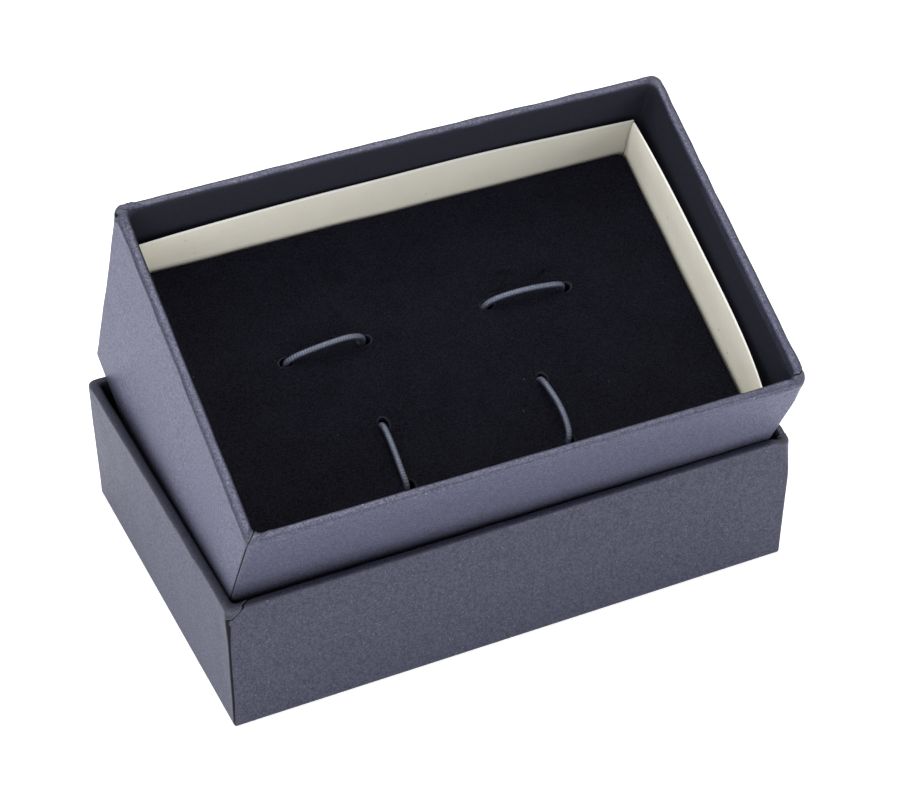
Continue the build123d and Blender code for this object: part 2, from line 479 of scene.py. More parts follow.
# Heights over which a seam begins above the underside, and distances past the rim over which
# it ends. The paper on top is lifted towards its cut line and the one beneath is sunk beside
# the gap; both fade away from the seam, and no step lies further off than its reach.
SEAM_FOOT, SEAM_END = (0.15, 0.8), (0.9, 1.5)
CUT_LINE = 0.001
LIFT_FADE, SUNK, SUNK_FADE = 0.9, 0.05, 0.7
STEP_REACH = 5.0

# Fewest and most waves round a box, on its walls, at its rim and where the paper ends.
WALL_WAVES, RIM_WAVES, EDGE_WAVES = (6, 34), (14, 70), (9, 60)

# Half length and half width of the bunch of paper on a rim's corner.
BUNCH_LENGTH, BUNCH_WIDTH = 2.3, 1.9

# Depths below the rim from which the corners' radius changes and the rim sags, half width of
# a corner's sag, and smallest radius of an inner corner.
ROUND_FROM, SAG_FROM, SAG_WIDTH, LEAST_RADIUS = 8.0, 6.0, 1.2, 0.25


@dataclass(frozen=True)
class Seam:
    """Line at a corner where the paper of one wall ends on top of the next wall's.

    The paper before it, in the way of the walk, lies on top if way is 1, and the paper after
    it if way is -1. Its offset from the corner's middle changes evenly across the rim, and by
    the flare on the last millimetres of the outer wall.
    """

    corner: Corner
    outer: float
    inner: float
    way: int
    lift: float = 0.05
    gap: float = 0.24
    depth: float = 0.12
    edge: float = 0.14
    flare: float = 0.0


@dataclass(frozen=True)
class Crease:
    """Small fold or dent in the paper near a corner of the rim."""

    corner: Corner
    along: float
    over_rim: float
    height: float
    length: float
    width: float
    turn: float
    torn: float = 0.0


@dataclass
class SetUpBox:
    """Greyboard box with taped corners, covered with paper that is turned over its rim."""

    name: str
    stance: Stance
    length: float
    width: float
    height: float
    turn_in: float
    bow: FourSides
    rim_corner_radius: FourCorners
    bunch: FourCorners
    seams: tuple[Seam, ...]
    creases: tuple[Crease, ...]
    seed: int
    lean: tuple = ((0.0, 0.0), (0.0, 0.0), (0.0, 0.0), (0.0, 0.0))
    lean_from: tuple[float, float] = (0.0, 0.0)
    # Strength on each side of the painted shade line along the rim's rounded outer edge.
    rim_edge_shades: FourSides = (0.3, 0.2, 0.3, 0.5)
    # Where the dark turned-in navy starts past the rim at each corner: partly the paper's own navy,
    # partly painted shade on the rim's inner roll.
    navy_and_shade_from: FourCorners = (0.7, 0.7, 0.7, 0.7)
    corner_sag: FourCorners = (0.0, 0.0, 0.0, 0.0)
    inner_corner: float = 0.8
    rim_wave: float = 0.05
    rim_out: float = 0.6
    rim_in: float = 0.45
    corner_radius: float = 0.9
    bottom_radius: float = 0.6
    board: float = 1.1
    paper: float = 0.15
    tape: float = 0.1
    stay_leg: float = 9.0
    stay_setback: float = 1.0
    tape_slack: float = 0.03
    rim_sag: float = 0.03
    unevenness: float = 0.03

    def __post_init__(self) -> None:
        """Works out the wall's thickness, the floor's height and the way round."""
        self.wall = self.board + self.tape + 2.0 * self.paper
        self.floor = self.board + self.paper
        self.walk = Walk(self.length, self.width, self.corner_radius)

    def columns(self) -> Array:
        """Distances of the grid's columns, close together at the corners and seams."""
        edges = self.walk.edges()
        counts = [STRETCH_COLUMNS if i % 4 else LONG_SIDE_COLUMNS for i in range(8)]
        marks = [np.linspace(*ends, count) for *ends, count in zip(edges, edges[1:], counts)]
        marks += [self.walk.corner_at(corner) + NEAR_CORNER for corner in Corner]
        for seam in self.seams:
            steps = (*BEFORE_SEAM, -seam.edge - 0.03, -seam.edge + 0.02, -0.05, 0.0)
            steps = seam.way * np.concatenate((steps, seam.gap * BEYOND_SEAM))
            marks.append(self.walk.corner_at(seam.corner) + steps)
        distance = np.sort(np.concatenate(marks) % self.walk.around())
        keep = np.concatenate(([True], np.diff(distance) > CLOSEST_COLUMNS))
        return distance[keep]

    def walked(self, profile: Profile, columns: Array) -> Array:
        """Distance along the walk of each point: near a seam the columns follow its line.

        Args:
            profile: Line carried round the box.
            columns: Distances of the columns where nothing shifts them.

        Returns:
            Distances by row and column.
        """
        across = np.clip(profile.inset / self.wall, 0.0, 1.0)
        flared = np.clip((profile.height - self.height + FLARE_DEPTH) / FLARE_RUN, 0.0, 1.0)
        distance = np.repeat(columns[None], len(profile.inset), axis=0)
        for seam in self.seams:
            offset = seam.outer + (seam.inner - seam.outer) * across + seam.flare * flared
            apart = np.abs(self.walk.from_corner(columns, seam.corner))
            distance = distance + offset[:, None] * (1.0 - smooth_step(apart, *SEAM_REACH))[None]
        return distance

    def stand_out(self, distance: Array, profile: Profile) -> Array:
        """How far the paper stands out: unevenness, creases, and bunches at the rim's corners.

        Args:
            distance: Distances along the walk, by row and column.
            profile: Line carried round the box.

        Returns:
            Millimetres along the surface's outward direction, by row and column.
        """
        over, past_rim = profile.over()[:, None], profile.past_rim()
        on_walls = smooth_step(profile.height, 0.3, 3.0)[:, None]
        around = self.walk.around()
        out = on_walls * self.unevenness * ripple(distance, over, around, self.seed, *WALL_WAVES)
        near_rim = bell(past_rim + 0.9, 1.5)
        waves = ripple(distance, over, around, self.seed + 5, *RIM_WAVES)
        out = out + self.rim_wave * near_rim * waves
        for corner in Corner:
            from_corner = self.walk.from_corner(distance, corner)
            bunched = bell(from_corner, BUNCH_LENGTH) * bell(past_rim, BUNCH_WIDTH)
            folds = 1.0 + 0.35 * np.sin(4.1 * from_corner + 2.3 * past_rim)
            out = out + self.bunch[corner] * bunched * folds
        for crease in self.creases:
            along = self.walk.from_corner(distance, crease.corner) - crease.along
            across = past_rim - crease.over_rim
            lengthwise, crosswise = turned(along, across, crease.turn)
            mark = bell(lengthwise, crease.length) * bell(crosswise, crease.width)
            out = out + crease.height * mark
        return out

    def seam_masks(self, columns: Array, profile: Profile) -> dict[str, Array]:
        """Where a paper's cut edge shows, and the gap beside it.

        Args:
            columns: Distances of the columns where nothing shifts them.
            profile: Line carried round the box.

        Returns:
            Masks cut_edge and gap, and how far the paper steps, by row and column.
        """
        shape = (len(profile.inset), len(columns))
        cut_edge, gap, step = np.zeros(shape), np.zeros(shape), np.zeros(shape)
        rows = smooth_step(profile.height, *SEAM_FOOT) * (profile.share == 1.0)
        rows = rows[:, None] * (1.0 - smooth_step(profile.past_rim(), *SEAM_END))
        swell = 0.7 + 0.6 * np.sin(math.pi * np.clip(profile.height / self.height, 0.0, 1.0))
        for seam in self.seams:
            beyond = (self.walk.from_corner(columns, seam.corner) * seam.way)[None]
            width = seam.gap * np.clip(swell, 0.0, 1.0)[:, None]
            before = beyond <= CUT_LINE
            on_edge = (beyond > -seam.edge) & before
            in_gap = ~before & (beyond < width)
            lifted = seam.lift * np.exp(np.minimum(beyond, 0.0) / LIFT_FADE)
            sunk = -SUNK * np.exp(-np.maximum(beyond - width, 0.0) / SUNK_FADE)
            height = np.where(before, lifted, np.where(in_gap, -seam.depth, sunk))
            step = step + rows * (np.abs(beyond) < STEP_REACH) * height
            cut_edge = np.maximum(cut_edge, rows * on_edge)
            gap = np.maximum(gap, rows * in_gap)
        return {"cut_edge": cut_edge, "gap": gap, "step": step}

    def bowed(self, plan: Array) -> Array:
        """How far the walls bow: outwards at their middles, and inwards at their corners.

        With u and v as the plan's coordinates from -1 to 1, a wall at |u| near 1 moves along x
        by its bow times |u| (0.6 - v^2), and a wall at |v| near 1 likewise along y.

        Args:
            plan: Points in plan.

        Returns:
            Their shifts.
        """
        front, right, back, left = self.bow
        unit = over_plan(plan, self.length, self.width)
        u, v = unit[..., 0], unit[..., 1]
        share = np.where(u > 0.0, right, left) * (0.6 - v**2)
        shift = np.where(v > 0.0, back, front) * (0.6 - u**2)
        return np.stack((u * share, v * shift), axis=-1)

    def leaning(self, plan: Array, height: Array) -> Array:
        """How far the walls lean outwards.

        The corners' own shifts are blended evenly over the plan, and grow with the height.

        Args:
            plan: Points in plan.
            height: Height of each row.

        Returns:
            Their shifts.
        """
        unit = over_plan(plan, self.length, self.width)
        shift = np.zeros(plan.shape)
        for signs, lean in zip(CORNER_SIGNS, self.lean):
            weight = np.prod((1.0 + unit * signs) / 2.0, axis=-1, keepdims=True)
            shift = shift + weight * signs * np.array(lean)
        rise = [smooth_step(height, start, self.height + 6.0) for start in self.lean_from]
        return shift * np.stack(rise, axis=-1)[:, None]

    def wrap(self, profile: Profile, distance: Array, out: Array) -> Array:
        """Carries a profile round the box.

        The corner radius grows towards the rim, where paper bunches. The walls bow and lean
        more with the height, and the rim sags a little between its corners and at some.

        Args:
            profile: Line to be carried.
            distance: Distances along the walk, by row and column.
            out: How far each point stands out, by row and column.

        Returns:
            Points by row and column, in the box's frame.
        """
        walk = self.walk
        facing_inset, facing_height = profile.facing()
        inset = profile.inset[:, None] + out * facing_inset[:, None]
        height = profile.height[:, None] + out * facing_height[:, None]
        apart = np.stack([np.abs(walk.from_corner(distance, corner)) for corner in Corner])
        rim_radius = np.array(self.rim_corner_radius)[np.argmin(apart, axis=0)]
        rise = smooth_step(profile.height, self.height - ROUND_FROM, self.height - 0.3)[:, None]
        outer = self.corner_radius + (rim_radius - self.corner_radius) * rise
        spare = self.inner_corner - LEAST_RADIUS
        least = LEAST_RADIUS + spare * rise * np.clip(inset / self.wall, 0.0, 1.0)
        plan = walk.plan(distance, inset, np.maximum(outer - inset, least))
        rise = smooth_step(profile.height, 0.0, self.height)[:, None, None]
        plan = plan + rise * self.bowed(plan) + self.leaning(plan, profile.height)
        plan = plan * profile.share[:, None, None]
        near_rim = smooth_step(profile.height, self.height - SAG_FROM, self.height)[:, None]
        dipped = np.array(self.corner_sag)[np.argmin(apart, axis=0)]
        dipped = dipped * bell(np.min(apart, axis=0), SAG_WIDTH)
        height = height - near_rim * (self.rim_sag * walk.middle(distance) + dipped)
        return np.concatenate((plan, height[..., None]), axis=-1)

    def rim_profile(
        self, inset: float, inner: float, out: float, inward: float, drop: float
    ) -> list[tuple[Array, Array]]:
        """Outer wall, rim and top of the inner wall, for the paper or for the board.

        Args:
            inset: Inset of the outer face.
            inner: Inset of the inner face.
            out: Radius of the rim's outer edge.
            inward: Radius of its inner edge.
            drop: How far the top lies below the box's rim.

        Returns:
            Insets and heights of each part, from the outer wall to the inner one.
        """
        top = self.height - drop
        lower = np.linspace(self.bottom_radius + 0.2, top - 4.0, 18)
        upper = np.linspace(top - 3.7, top - out - 0.15, 13)
        wall_heights = np.concatenate((lower, upper))
        return [
            (np.full(len(wall_heights), inset), wall_heights),
            quarter(inset + out, top - out, out, 0.0, 9),
            quarter(inner - inward, top - inward, inward, 90.0, 7),
        ]

    def own_piece(self, skin: Skin, name: str, material: Material, slot: str) -> Piece:
        """Makes one of the box's pieces, named after the box and riding on its body."""
        return skin.piece(f"{self.name}_{name}", self.stance, material, self.name, slot)

    def covering(self, material: Material) -> Piece:
        """Paper over the outside and the rim, ending at the turned-in depth.

        Args:
            material: Finish of the paper.

        Returns:
            The piece.
        """
        depth = np.linspace(self.rim_in + 0.3, self.turn_in, 16)
        parts = [
            quarter(self.bottom_radius, self.bottom_radius, self.bottom_radius, -90.0, 6),
            *self.rim_profile(0.0, self.wall, self.rim_out, self.rim_in, 0.0),
            (np.full(len(depth), self.wall), self.height - depth),
        ]
        profile = join_profile(parts, closed=False)
        columns = self.columns()
        distance = self.walked(profile, columns)
        seams = self.seam_masks(columns, profile)
        out = self.stand_out(distance, profile) + seams.pop("step")
        past_rim = profile.past_rim()
        # Past this line the paper is dark navy: partly its own turned-in navy, partly painted shade
        # on the rim's inner roll and the inner walls.
        navy_and_shade_from = self.walk.by_corner(self.navy_and_shade_from, columns)[None]
        along = ripple(distance, 0.0 * past_rim, self.walk.around(), self.seed + 1, *EDGE_WAVES)
        inside = smooth_step(past_rim - navy_and_shade_from + 0.07 * along, 0.0, 0.45)
        # Painted shade: a dark line along the rim's rounded outer edge.
        rim_edge_shade = bell(past_rim + 0.55 + 0.08 * along, 0.3) * (0.8 + 0.2 * along)
        rim_edge_shade = rim_edge_shade * self.walk.by_side(self.rim_edge_shades, columns)[None]
        corner = np.max([bell(self.walk.from_corner(distance, c), 1.4) for c in Corner], axis=0)
        worn = bell(past_rim + 0.35, 0.8) * (0.35 + 0.65 * corner) * (1.0 - inside)
        for crease in self.creases:
            away = np.hypot(
                self.walk.from_corner(distance, crease.corner) - crease.along,
                past_rim - crease.over_rim,
            )
            seams["gap"] = np.maximum(seams["gap"], crease.torn * smooth_step(-away, -0.5, -0.28))
        rows, columns = out.shape
        masks = {**seams, "inside": inside, "worn": worn, "rim_edge_shade": np.clip(rim_edge_shade, 0.0, 1.0)}
        points = self.wrap(profile, distance, out).reshape(-1, 3)
        tip = np.array([[0.0, 0.0, 0.0]])
        masks = {name: np.append(mask.ravel(), 0.0) for name, mask in masks.items()}
        skin = Skin(np.concatenate((points, tip)), tube_faces(rows, columns, 1), masks)
        piece = self.own_piece(skin, "covering_paper", material, "covering_paper")
        stiffen(piece, self.paper)
        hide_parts(f"{self.name}_covering")
        return piece

    def greyboard(self, material: Material) -> Piece:
        """Board folded up into floor and walls, just inside the paper.

        Args:
            material: Finish of the board.

        Returns:
            The piece.
        """
        outer = self.paper + self.tape
        inner = self.wall - self.paper - 0.01
        depth = np.linspace(0.6, self.height - self.floor - 0.2, 14)
        parts = [
            quarter(outer + 0.35, self.paper + 0.35, 0.35, -90.0, 3),
            *self.rim_profile(outer, inner, 0.4, 0.3, self.paper + 0.06),
            (np.full(len(depth), inner), self.height - depth),
            (np.array([inner]), np.array([self.floor])),
        ]
        profile = join_profile(parts, closed=True)
        columns = self.columns()
        distance = np.repeat(columns[None], len(profile.inset), axis=0)
        rows, columns = distance.shape
        points = self.wrap(profile, distance, np.zeros(distance.shape)).reshape(-1, 3)
        tips = np.array(((0.0, 0.0, self.paper), (0.0, 0.0, self.floor)))
        skin = Skin(np.concatenate((points, tips)), tube_faces(rows, columns, 2), {})
        piece = self.own_piece(skin, "greyboard", material, "greyboard")
        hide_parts(f"{self.name}_board")
        return piece

    def stays(self, material: Material) -> Piece:
        """Gummed tape folded round each corner of the board, under the covering.

        It is let into the board by its own thickness, so that it stays hidden at the seams.

        Args:
            material: Finish of the tape.

        Returns:
            The piece, with one strip for each corner.
        """
        low = self.paper + self.bottom_radius + self.stay_setback
        high = self.height - self.paper - self.stay_setback
        height = np.linspace(low, high, 12)
        inset = np.full(len(height), self.paper + self.tape)
        profile = Profile(inset, height, np.ones(len(height)))
        across = np.linspace(-self.stay_leg, self.stay_leg, 45)
        points, faces = [], []
        for number, corner in enumerate(Corner):
            distance = (self.walk.corner_at(corner) + across)[None]
            distance = np.repeat(distance, len(height), axis=0)
            points.append(self.wrap(profile, distance, np.zeros(distance.shape)).reshape(-1, 3))
            faces += (grid_faces(*distance.shape, False, False) + number * distance.size).tolist()
        skin = Skin(np.concatenate(points), faces, {})
        piece = self.own_piece(skin, "corner_tape", material, "stay_tape")
        stiffen(piece, self.tape - self.tape_slack)
        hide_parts(f"{self.name}_corner_stays")
        return piece


# ---- Liner -------------------------------------------------------------------------------


@dataclass
class Liner:
    """Strip of cream card folded round the inside of the tray, its ends in the back right corner."""

    stance: Stance
    length: float = 82.8
    width: float = 51.0
    card: float = 0.35
    foot: float = 1.3
    top: float = 34.9
    pad_level: float = 24.6
    fold_radius: float = 0.6
    seam: float = 0.3
    edge_ease: float = 0.06
    wave: float = 0.05
    waves: tuple[int, int] = (3, 12)
    front_lean: tuple[float, ...] = (0.3, 0.1, 0.3)
    right_lean: tuple[float, ...] = (2.1, 0.85, 0.7, 0.95, 1.5)
    back_lean: tuple[float, ...] = (1.1, 0.0, 0.8)
    left_lean: tuple[float, ...] = (0.3, 0.2, 0.5)
    # Painted shade on the back panel, growing towards the back right corner.
    back_shade: tuple[float, ...] = (0.15, 0.4, 0.7, 0.9, 1.15)
    back_shade_from: tuple[float, float] = (0.93, 0.96)
    # Painted contact shadow on the card just above the pad: its rise and width.
    contact_shade_rise: float = 0.3
    contact_shade_width: float = 1.1
    sharp_from: float = 35.0
    seed: int = 31

    def section(self) -> tuple[Array, Array]:
        """Inset and height round the card's section: up its outer face and down its inner one."""
        lower = np.linspace(self.foot, self.pad_level, 10)
        up = np.concatenate((lower, np.linspace(self.pad_level, self.top, 22)[1:]))
        up[-1] -= self.edge_ease
        top = np.array((self.edge_ease, self.card - self.edge_ease))
        inset = np.concatenate((np.zeros(len(up)), top, np.full(len(up), self.card)))
        height = np.concatenate((up, np.full(2, self.top), up[::-1]))
        return inset, height

    def strip(self) -> tuple[Array, Array]:
        """Points of the folded strip.

        The section is carried round a rounded rectangle. Past both ends of the walk it runs on
        straight. Above the pad the card waves gently, and its panels lean inwards.

        Returns:
            Points by row and column, and heights of the rows.
        """
        walk = Walk(self.length, self.width, self.fold_radius)
        edges = walk.edges()
        start, end = edges[4] + 1e-6, edges[3] + edges[-1] - 1e-6
        low, high = start - self.fold_radius, end + self.fold_radius - self.card - self.seam
        folds = np.concatenate([np.linspace(edges[i], edges[i + 1], 7) for i in (1, 5, 7)])
        folds = np.where(folds < low, folds + edges[-1], folds)
        near_end = high - np.array((0.3, 0.7, 1.2))
        distance = np.sort(np.concatenate((np.linspace(low, high, 210), folds, near_end)))
        inset, height = self.section()
        onward = np.clip(distance, start, end)
        inset_grid = np.broadcast_to(inset[:, None], (len(inset), len(distance)))
        plan = walk.plan(onward, inset_grid, self.fold_radius - inset_grid)
        outward = walk.outward(onward)
        tangent = np.stack((-outward[:, 1], outward[:, 0]), axis=-1)
        plan = plan + ((distance - onward)[:, None] * tangent)[None]
        above = smooth_step(height, self.pad_level - 1.0, self.top)[:, None]
        waves = ripple(distance[None], height[:, None], edges[-1], self.seed, *self.waves)
        plan = plan - (above * self.wave * waves)[..., None] * outward[None]
        plan = plan - above[..., None] * self.leaning(plan)
        grid_height = np.broadcast_to(height[:, None], plan.shape[:2])
        return np.concatenate((plan, grid_height[..., None]), axis=-1), height

    def leaning(self, plan: Array) -> Array:
        """How far the top of each panel leans inwards.

        A panel's lean is the polynomial through its evenly spaced values. With u and v as the
        plan's coordinates from -1 to 1, it fades with |u|^6 or |v|^6 off the panel.

        Args:
            plan: Points in plan.

        Returns:
            Their shifts, to be taken off.
        """
        unit = over_plan(plan, self.length, self.width)
        shifts = []
        panels = ((self.left_lean, self.right_lean), (self.front_lean, self.back_lean))
        for axis, (low, high) in enumerate(panels):
            across, along = unit[..., axis], unit[..., 1 - axis]
            curves = []
            for lean in (high, low):
                places = np.linspace(-1.0, 1.0, len(lean))
                curves.append(Polynomial.fit(places, lean, len(lean) - 1)(along))
            lean = np.where(across > 0.0, *curves)
            shifts.append(np.sign(across) * np.abs(across) ** 6 * lean)
        return np.stack(shifts, axis=-1)

    def build(self, material: Material) -> Piece:
        """Makes the liner, closed all round.

        Args:
            material: Finish of the card.

        Returns:
            The piece.
        """
        points, height = self.strip()
        rows, columns = points.shape[:2]
        faces = grid_faces(rows, columns, True, False)
        half = rows // 2
        row = np.arange(half - 1)
        first = np.stack((row, row + 1, rows - 2 - row, rows - 1 - row), axis=-1) * columns
        last = first[:, ::-1] + columns - 1
        cut = np.repeat((height > self.top - self.edge_ease * 1.5)[:, None], columns, axis=1)
        # Painted contact shadow: a dark band at the pad's level, on both faces of the card.
        foot = bell(height - self.pad_level - self.contact_shade_rise, self.contact_shade_width)
        unit = over_plan(points[..., :2], self.length, self.width)
        # Painted shade on the back panel, darker towards the back right corner.
        at_back = smooth_step(unit[..., 1], *self.back_shade_from)
        tone = np.interp(unit[..., 0], np.linspace(-1.0, 1.0, 5), self.back_shade)
        shaded = np.maximum(foot[:, None], at_back * tone)
        skin = Skin(
            points.reshape(-1, 3),
            np.concatenate((faces, first, last)).tolist(),
            {"cut_edge": cut.astype(float), "shaded": shaded},
        )
        piece = skin.piece("liner_card_strip", self.stance, material, "liner_ring", "liner_card")
        smooth = np.concatenate((np.ones(len(faces), bool), np.zeros(2 * len(row), bool)))
        piece.data.polygons.foreach_set("use_smooth", smooth)
        piece.data.set_sharp_from_angle(angle=math.radians(self.sharp_from))
        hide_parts("liner")
        return piece


# ---- Pad ---------------------------------------------------------------------------------


@dataclass(frozen=True)
class LoopPlace:
    """Where an elastic loop passes through the pad, and how it lies over the flock.

    Each point of its arch gives the share of the way from hole to hole, the shift to the left
    of that way, and the height over the flock.
    """

    name: str
    first: tuple[float, float]
    second: tuple[float, float]
    arch: tuple[tuple[float, float, float], ...]


@dataclass(frozen=True)
class Dent:
    """Short line along which the flock is pressed down."""

    x: float
    y: float
    length: float
    width: float
    depth: float
    turn: float


@dataclass
class Pad:
    """Flocked cover over the foam, rolled at its edges and dished at the eight holes."""

    stance: Stance
    places: tuple[LoopPlace, ...]
    dents: tuple[Dent, ...]
    length: float = 81.4
    width: float = 49.6
    top: float = 24.6
    foot: float = 21.2
    edge_radius: float = 0.8
    corner_radius: float = 1.2
    cover: float = 0.35
    hole_radius: float = 1.0
    hole_narrowing: float = 0.74
    lip: float = 0.38
    cell: float = 0.42
    patch: int = 4
    ridge: float = 0.13
    ridge_at: float = 0.45
    ridge_width: float = 0.4
    # Place and width of the painted highlight ring past each hole's edge.
    highlight_at: float = 0.16
    highlight_width: float = 0.1
    dent_bend: float = 0.06
    swell: float = 0.06
    swells: tuple[int, int] = (2, 13)
    edge_rise: float = 0.95
    edge_reach: float = 5.0
    seed: int = 47

    def lines(self, half: float, holes: Array) -> tuple[Array, Array]:
        """Grid lines along one axis, evenly spaced about each hole and close at the edges.

        Args:
            half: Half of the flat top's size along the axis.
            holes: Places of the holes along it.

        Returns:
            The lines, and the number of the line at each hole.
        """
        knots = np.unique(np.concatenate((holes, (-half, half))))
        counts = np.maximum(1, np.round(np.diff(knots) / self.cell)).astype(int)
        pieces = zip(knots, knots[1:], counts)
        runs = [np.linspace(*ends, count, endpoint=False) for *ends, count in pieces]
        rounding = self.corner_radius - self.edge_radius
        near_end = half - rounding * np.array((0.0, 0.2, 0.4, 0.65, 1.0))
        inner = [run[np.abs(run) < half - rounding - 0.02] for run in runs]
        lines = np.sort(np.concatenate((*inner, near_end, -near_end)))
        return lines, np.array([int(np.argmin(np.abs(lines - hole))) for hole in holes])

    def rounded(self, plan: Array, half: Array, radius: float) -> Array:
        """Rounds the corners of a rectangle's grid.

        Within each corner's square, u and v from 0 to 1 become u sqrt(1 - v^2 / 2) and
        v sqrt(1 - u^2 / 2), which turns the square's outline into a quarter circle.

        Args:
            plan: Points in plan.
            half: Half sizes of the rectangle.
            radius: Radius of its corners.

        Returns:
            The points with the corners rounded.
        """
        straight = half - radius
        into = np.clip((np.abs(plan) - straight) / radius, 0.0, 1.0)
        drawn = into * np.sqrt(1.0 - into[..., ::-1] ** 2 / 2.0) * radius
        return np.sign(plan) * (np.minimum(np.abs(plan), straight) + drawn)

    def narrowing(self, place: LoopPlace) -> Array:
        """Scale of a hole along X and Y: it is pulled narrower across the way of its loop."""
        way = np.abs(np.subtract(place.second, place.first))
        return np.where(way == way.max(), 1.0, self.hole_narrowing)

    def relief(self, plan: Array) -> tuple[Array, Array, Array]:
        """Height of the flock above its mean level, and how far it is pressed down.

        It swells gently, rises towards the liner and in a soft ring about each hole, and sinks
        along the dents.

        Args:
            plan: Points in plan.

        Returns:
            Height in millimetres, and masks of the pressed places, which take painted shade, and of
            the painted highlight rings on the holes' lips.
        """
        x, y = plan[..., 0], plan[..., 1]
        height = self.swell * ripple(x, y, 2.0 * self.length, self.seed, *self.swells)
        inward = np.minimum(self.length / 2.0 - np.abs(x), self.width / 2.0 - np.abs(y))
        height = height + self.edge_rise * (1.0 - smooth_step(inward, 0.6, self.edge_reach))
        ring = np.zeros(x.shape)
        for place in self.places:
            narrow = self.narrowing(place)
            for hole in (place.first, place.second):
                away = np.hypot((x - hole[0]) / narrow[0], (y - hole[1]) / narrow[1])
                away = away - self.hole_radius
                height = height + self.ridge * bell(away - self.ridge_at, self.ridge_width)
                # Painted highlight ring on the hole's lip.
                ring = np.maximum(ring, bell(away - self.highlight_at, self.highlight_width))
        # Masks of the dents, which the flock darkens as painted shade.
        pressed = np.zeros(x.shape)
        for dent in self.dents:
            along, across = turned(x - dent.x, y - dent.y, dent.turn)
            bend = self.dent_bend * along**2
            mark = bell(along, dent.length) * bell(across + bend, dent.width)
            height = height - dent.depth * mark
            pressed = np.maximum(pressed, mark)
        return height, pressed, ring

    def hole_patch(
        self, number: Array, plan: Array, middle: tuple[int, int], narrow: Array, offset: int
    ) -> tuple[Array, Array, Array, Array]:
        """Rings of points that lead from a square of the grid into a round hole.

        A ring is the square's outline blended towards a circle. The last rings follow a
        quarter circle over the hole's lip and then run down its wall.

        Args:
            number: Numbers of the grid's points.
            plan: Their places in plan.
            middle: Line numbers of the hole.
            narrow: Scale of the hole along X and Y.
            offset: Number of the first new point.

        Returns:
            Plan, drop below the flock and mask of painted shade inside the hole for the new points,
            and the new faces.
        """
        side = np.arange(-self.patch, self.patch)
        fixed = np.full(len(side), self.patch)
        columns = middle[0] + np.concatenate((side, fixed, -side, -fixed))
        rows = middle[1] + np.concatenate((-fixed, side, fixed, -side))
        outline, square = number[rows, columns], plan[rows, columns]
        centre = plan[middle[1], middle[0]]
        direction = of_length_one(square - centre)
        blend = np.linspace(0.0, 1.0, 9)[1:, None, None]
        lip_radius = self.hole_radius + self.lip
        direction = direction * narrow
        flat = square[None] * (1.0 - blend) + (centre + direction * lip_radius)[None] * blend
        angle = np.radians(np.linspace(0.0, 90.0, 6)[1:])
        lip = centre + direction[None] * (lip_radius - self.lip * np.sin(angle))[:, None, None]
        down = np.array((0.5, 1.1, 1.9, 2.9))
        wall = np.broadcast_to(centre + direction * self.hole_radius, (len(down), *direction.shape))
        drop = np.concatenate(
            (np.zeros(len(blend)), self.lip * (1.0 - np.cos(angle)), self.lip + down)
        )
        rings = np.concatenate((flat, lip, wall))
        rows, columns = rings.shape[:2]
        new = offset + np.arange(rows * columns).reshape(rows, columns)
        table = np.concatenate((outline[None], new))
        quads = grid_faces(rows + 1, columns, False, True)
        # Painted shade inside the hole, full once past the lip.
        inside = smooth_step(drop, 0.1, self.lip + 0.5)
        return (
            rings.reshape(-1, 2),
            np.repeat(drop, columns),
            np.repeat(inside, columns),
            table.ravel()[quads],
        )

    def skirt(self, outline: Array, half: Array, rounding: float) -> tuple[Array, Array]:
        """Rolled edge of the cover, a quarter circle, and its side, straight down.

        Args:
            outline: Plan of the flat top's outline.
            half: Half sizes of the flat top.
            rounding: Radius of its corners.

        Returns:
            Plan by row and column, and how far each row lies below the top.
        """
        centre = np.clip(outline, rounding - half, half - rounding)
        direction = of_length_one(outline - centre)
        angle = np.radians(np.linspace(0.0, 90.0, 9)[1:])
        down = np.linspace(0.25, self.top - self.foot - self.edge_radius, 5)
        rolled, straight = self.edge_radius * np.sin(angle), np.full(len(down), self.edge_radius)
        out = np.concatenate((rolled, straight))
        drop = np.concatenate((self.edge_radius * (1.0 - np.cos(angle)), self.edge_radius + down))
        return centre[None] + direction[None] * (rounding + out)[:, None, None], drop

    def build(self, material: Material) -> Piece:
        """Makes the cover.

        Args:
            material: Finish of the flock.

        Returns:
            The piece.
        """
        half = np.array((self.length, self.width)) / 2.0 - self.edge_radius
        holes = np.array([hole for place in self.places for hole in (place.first, place.second)])
        x_lines, x_at = self.lines(half[0], holes[:, 0])
        y_lines, y_at = self.lines(half[1], holes[:, 1])
        flat = np.stack(np.meshgrid(x_lines, y_lines), axis=-1)
        rounding = self.corner_radius - self.edge_radius
        plan = self.rounded(flat, half, rounding)
        rows, columns = plan.shape[:2]
        number = np.arange(rows * columns).reshape(rows, columns)
        cells = grid_faces(rows, columns, False, False).reshape(rows - 1, columns - 1, 4)
        kept = np.ones((rows - 1, columns - 1), bool)
        for x_middle, y_middle in zip(x_at, y_at):
            cut_y = slice(y_middle - self.patch, y_middle + self.patch)
            cut_x = slice(x_middle - self.patch, x_middle + self.patch)
            kept[cut_y, cut_x] = False
        offset = rows * columns
        plans, faces = [plan.reshape(-1, 2)], [cells[kept]]
        drops, masks = [np.zeros(offset)], [np.zeros(offset)]
        narrows = [self.narrowing(place) for place in self.places for _ in range(2)]
        for narrow, *middle in zip(narrows, x_at, y_at):
            ring_plan, drop, inside, quads = self.hole_patch(number, plan, middle, narrow, offset)
            plans.append(ring_plan)
            drops.append(drop)
            masks.append(inside)
            faces.append(quads)
            offset += len(ring_plan)
        edge = np.concatenate(
            (number[0, :-1], number[:-1, -1], number[-1, :0:-1], number[:0:-1, 0])
        )
        skirt, drop = self.skirt(plan.reshape(-1, 2)[edge], half, rounding)
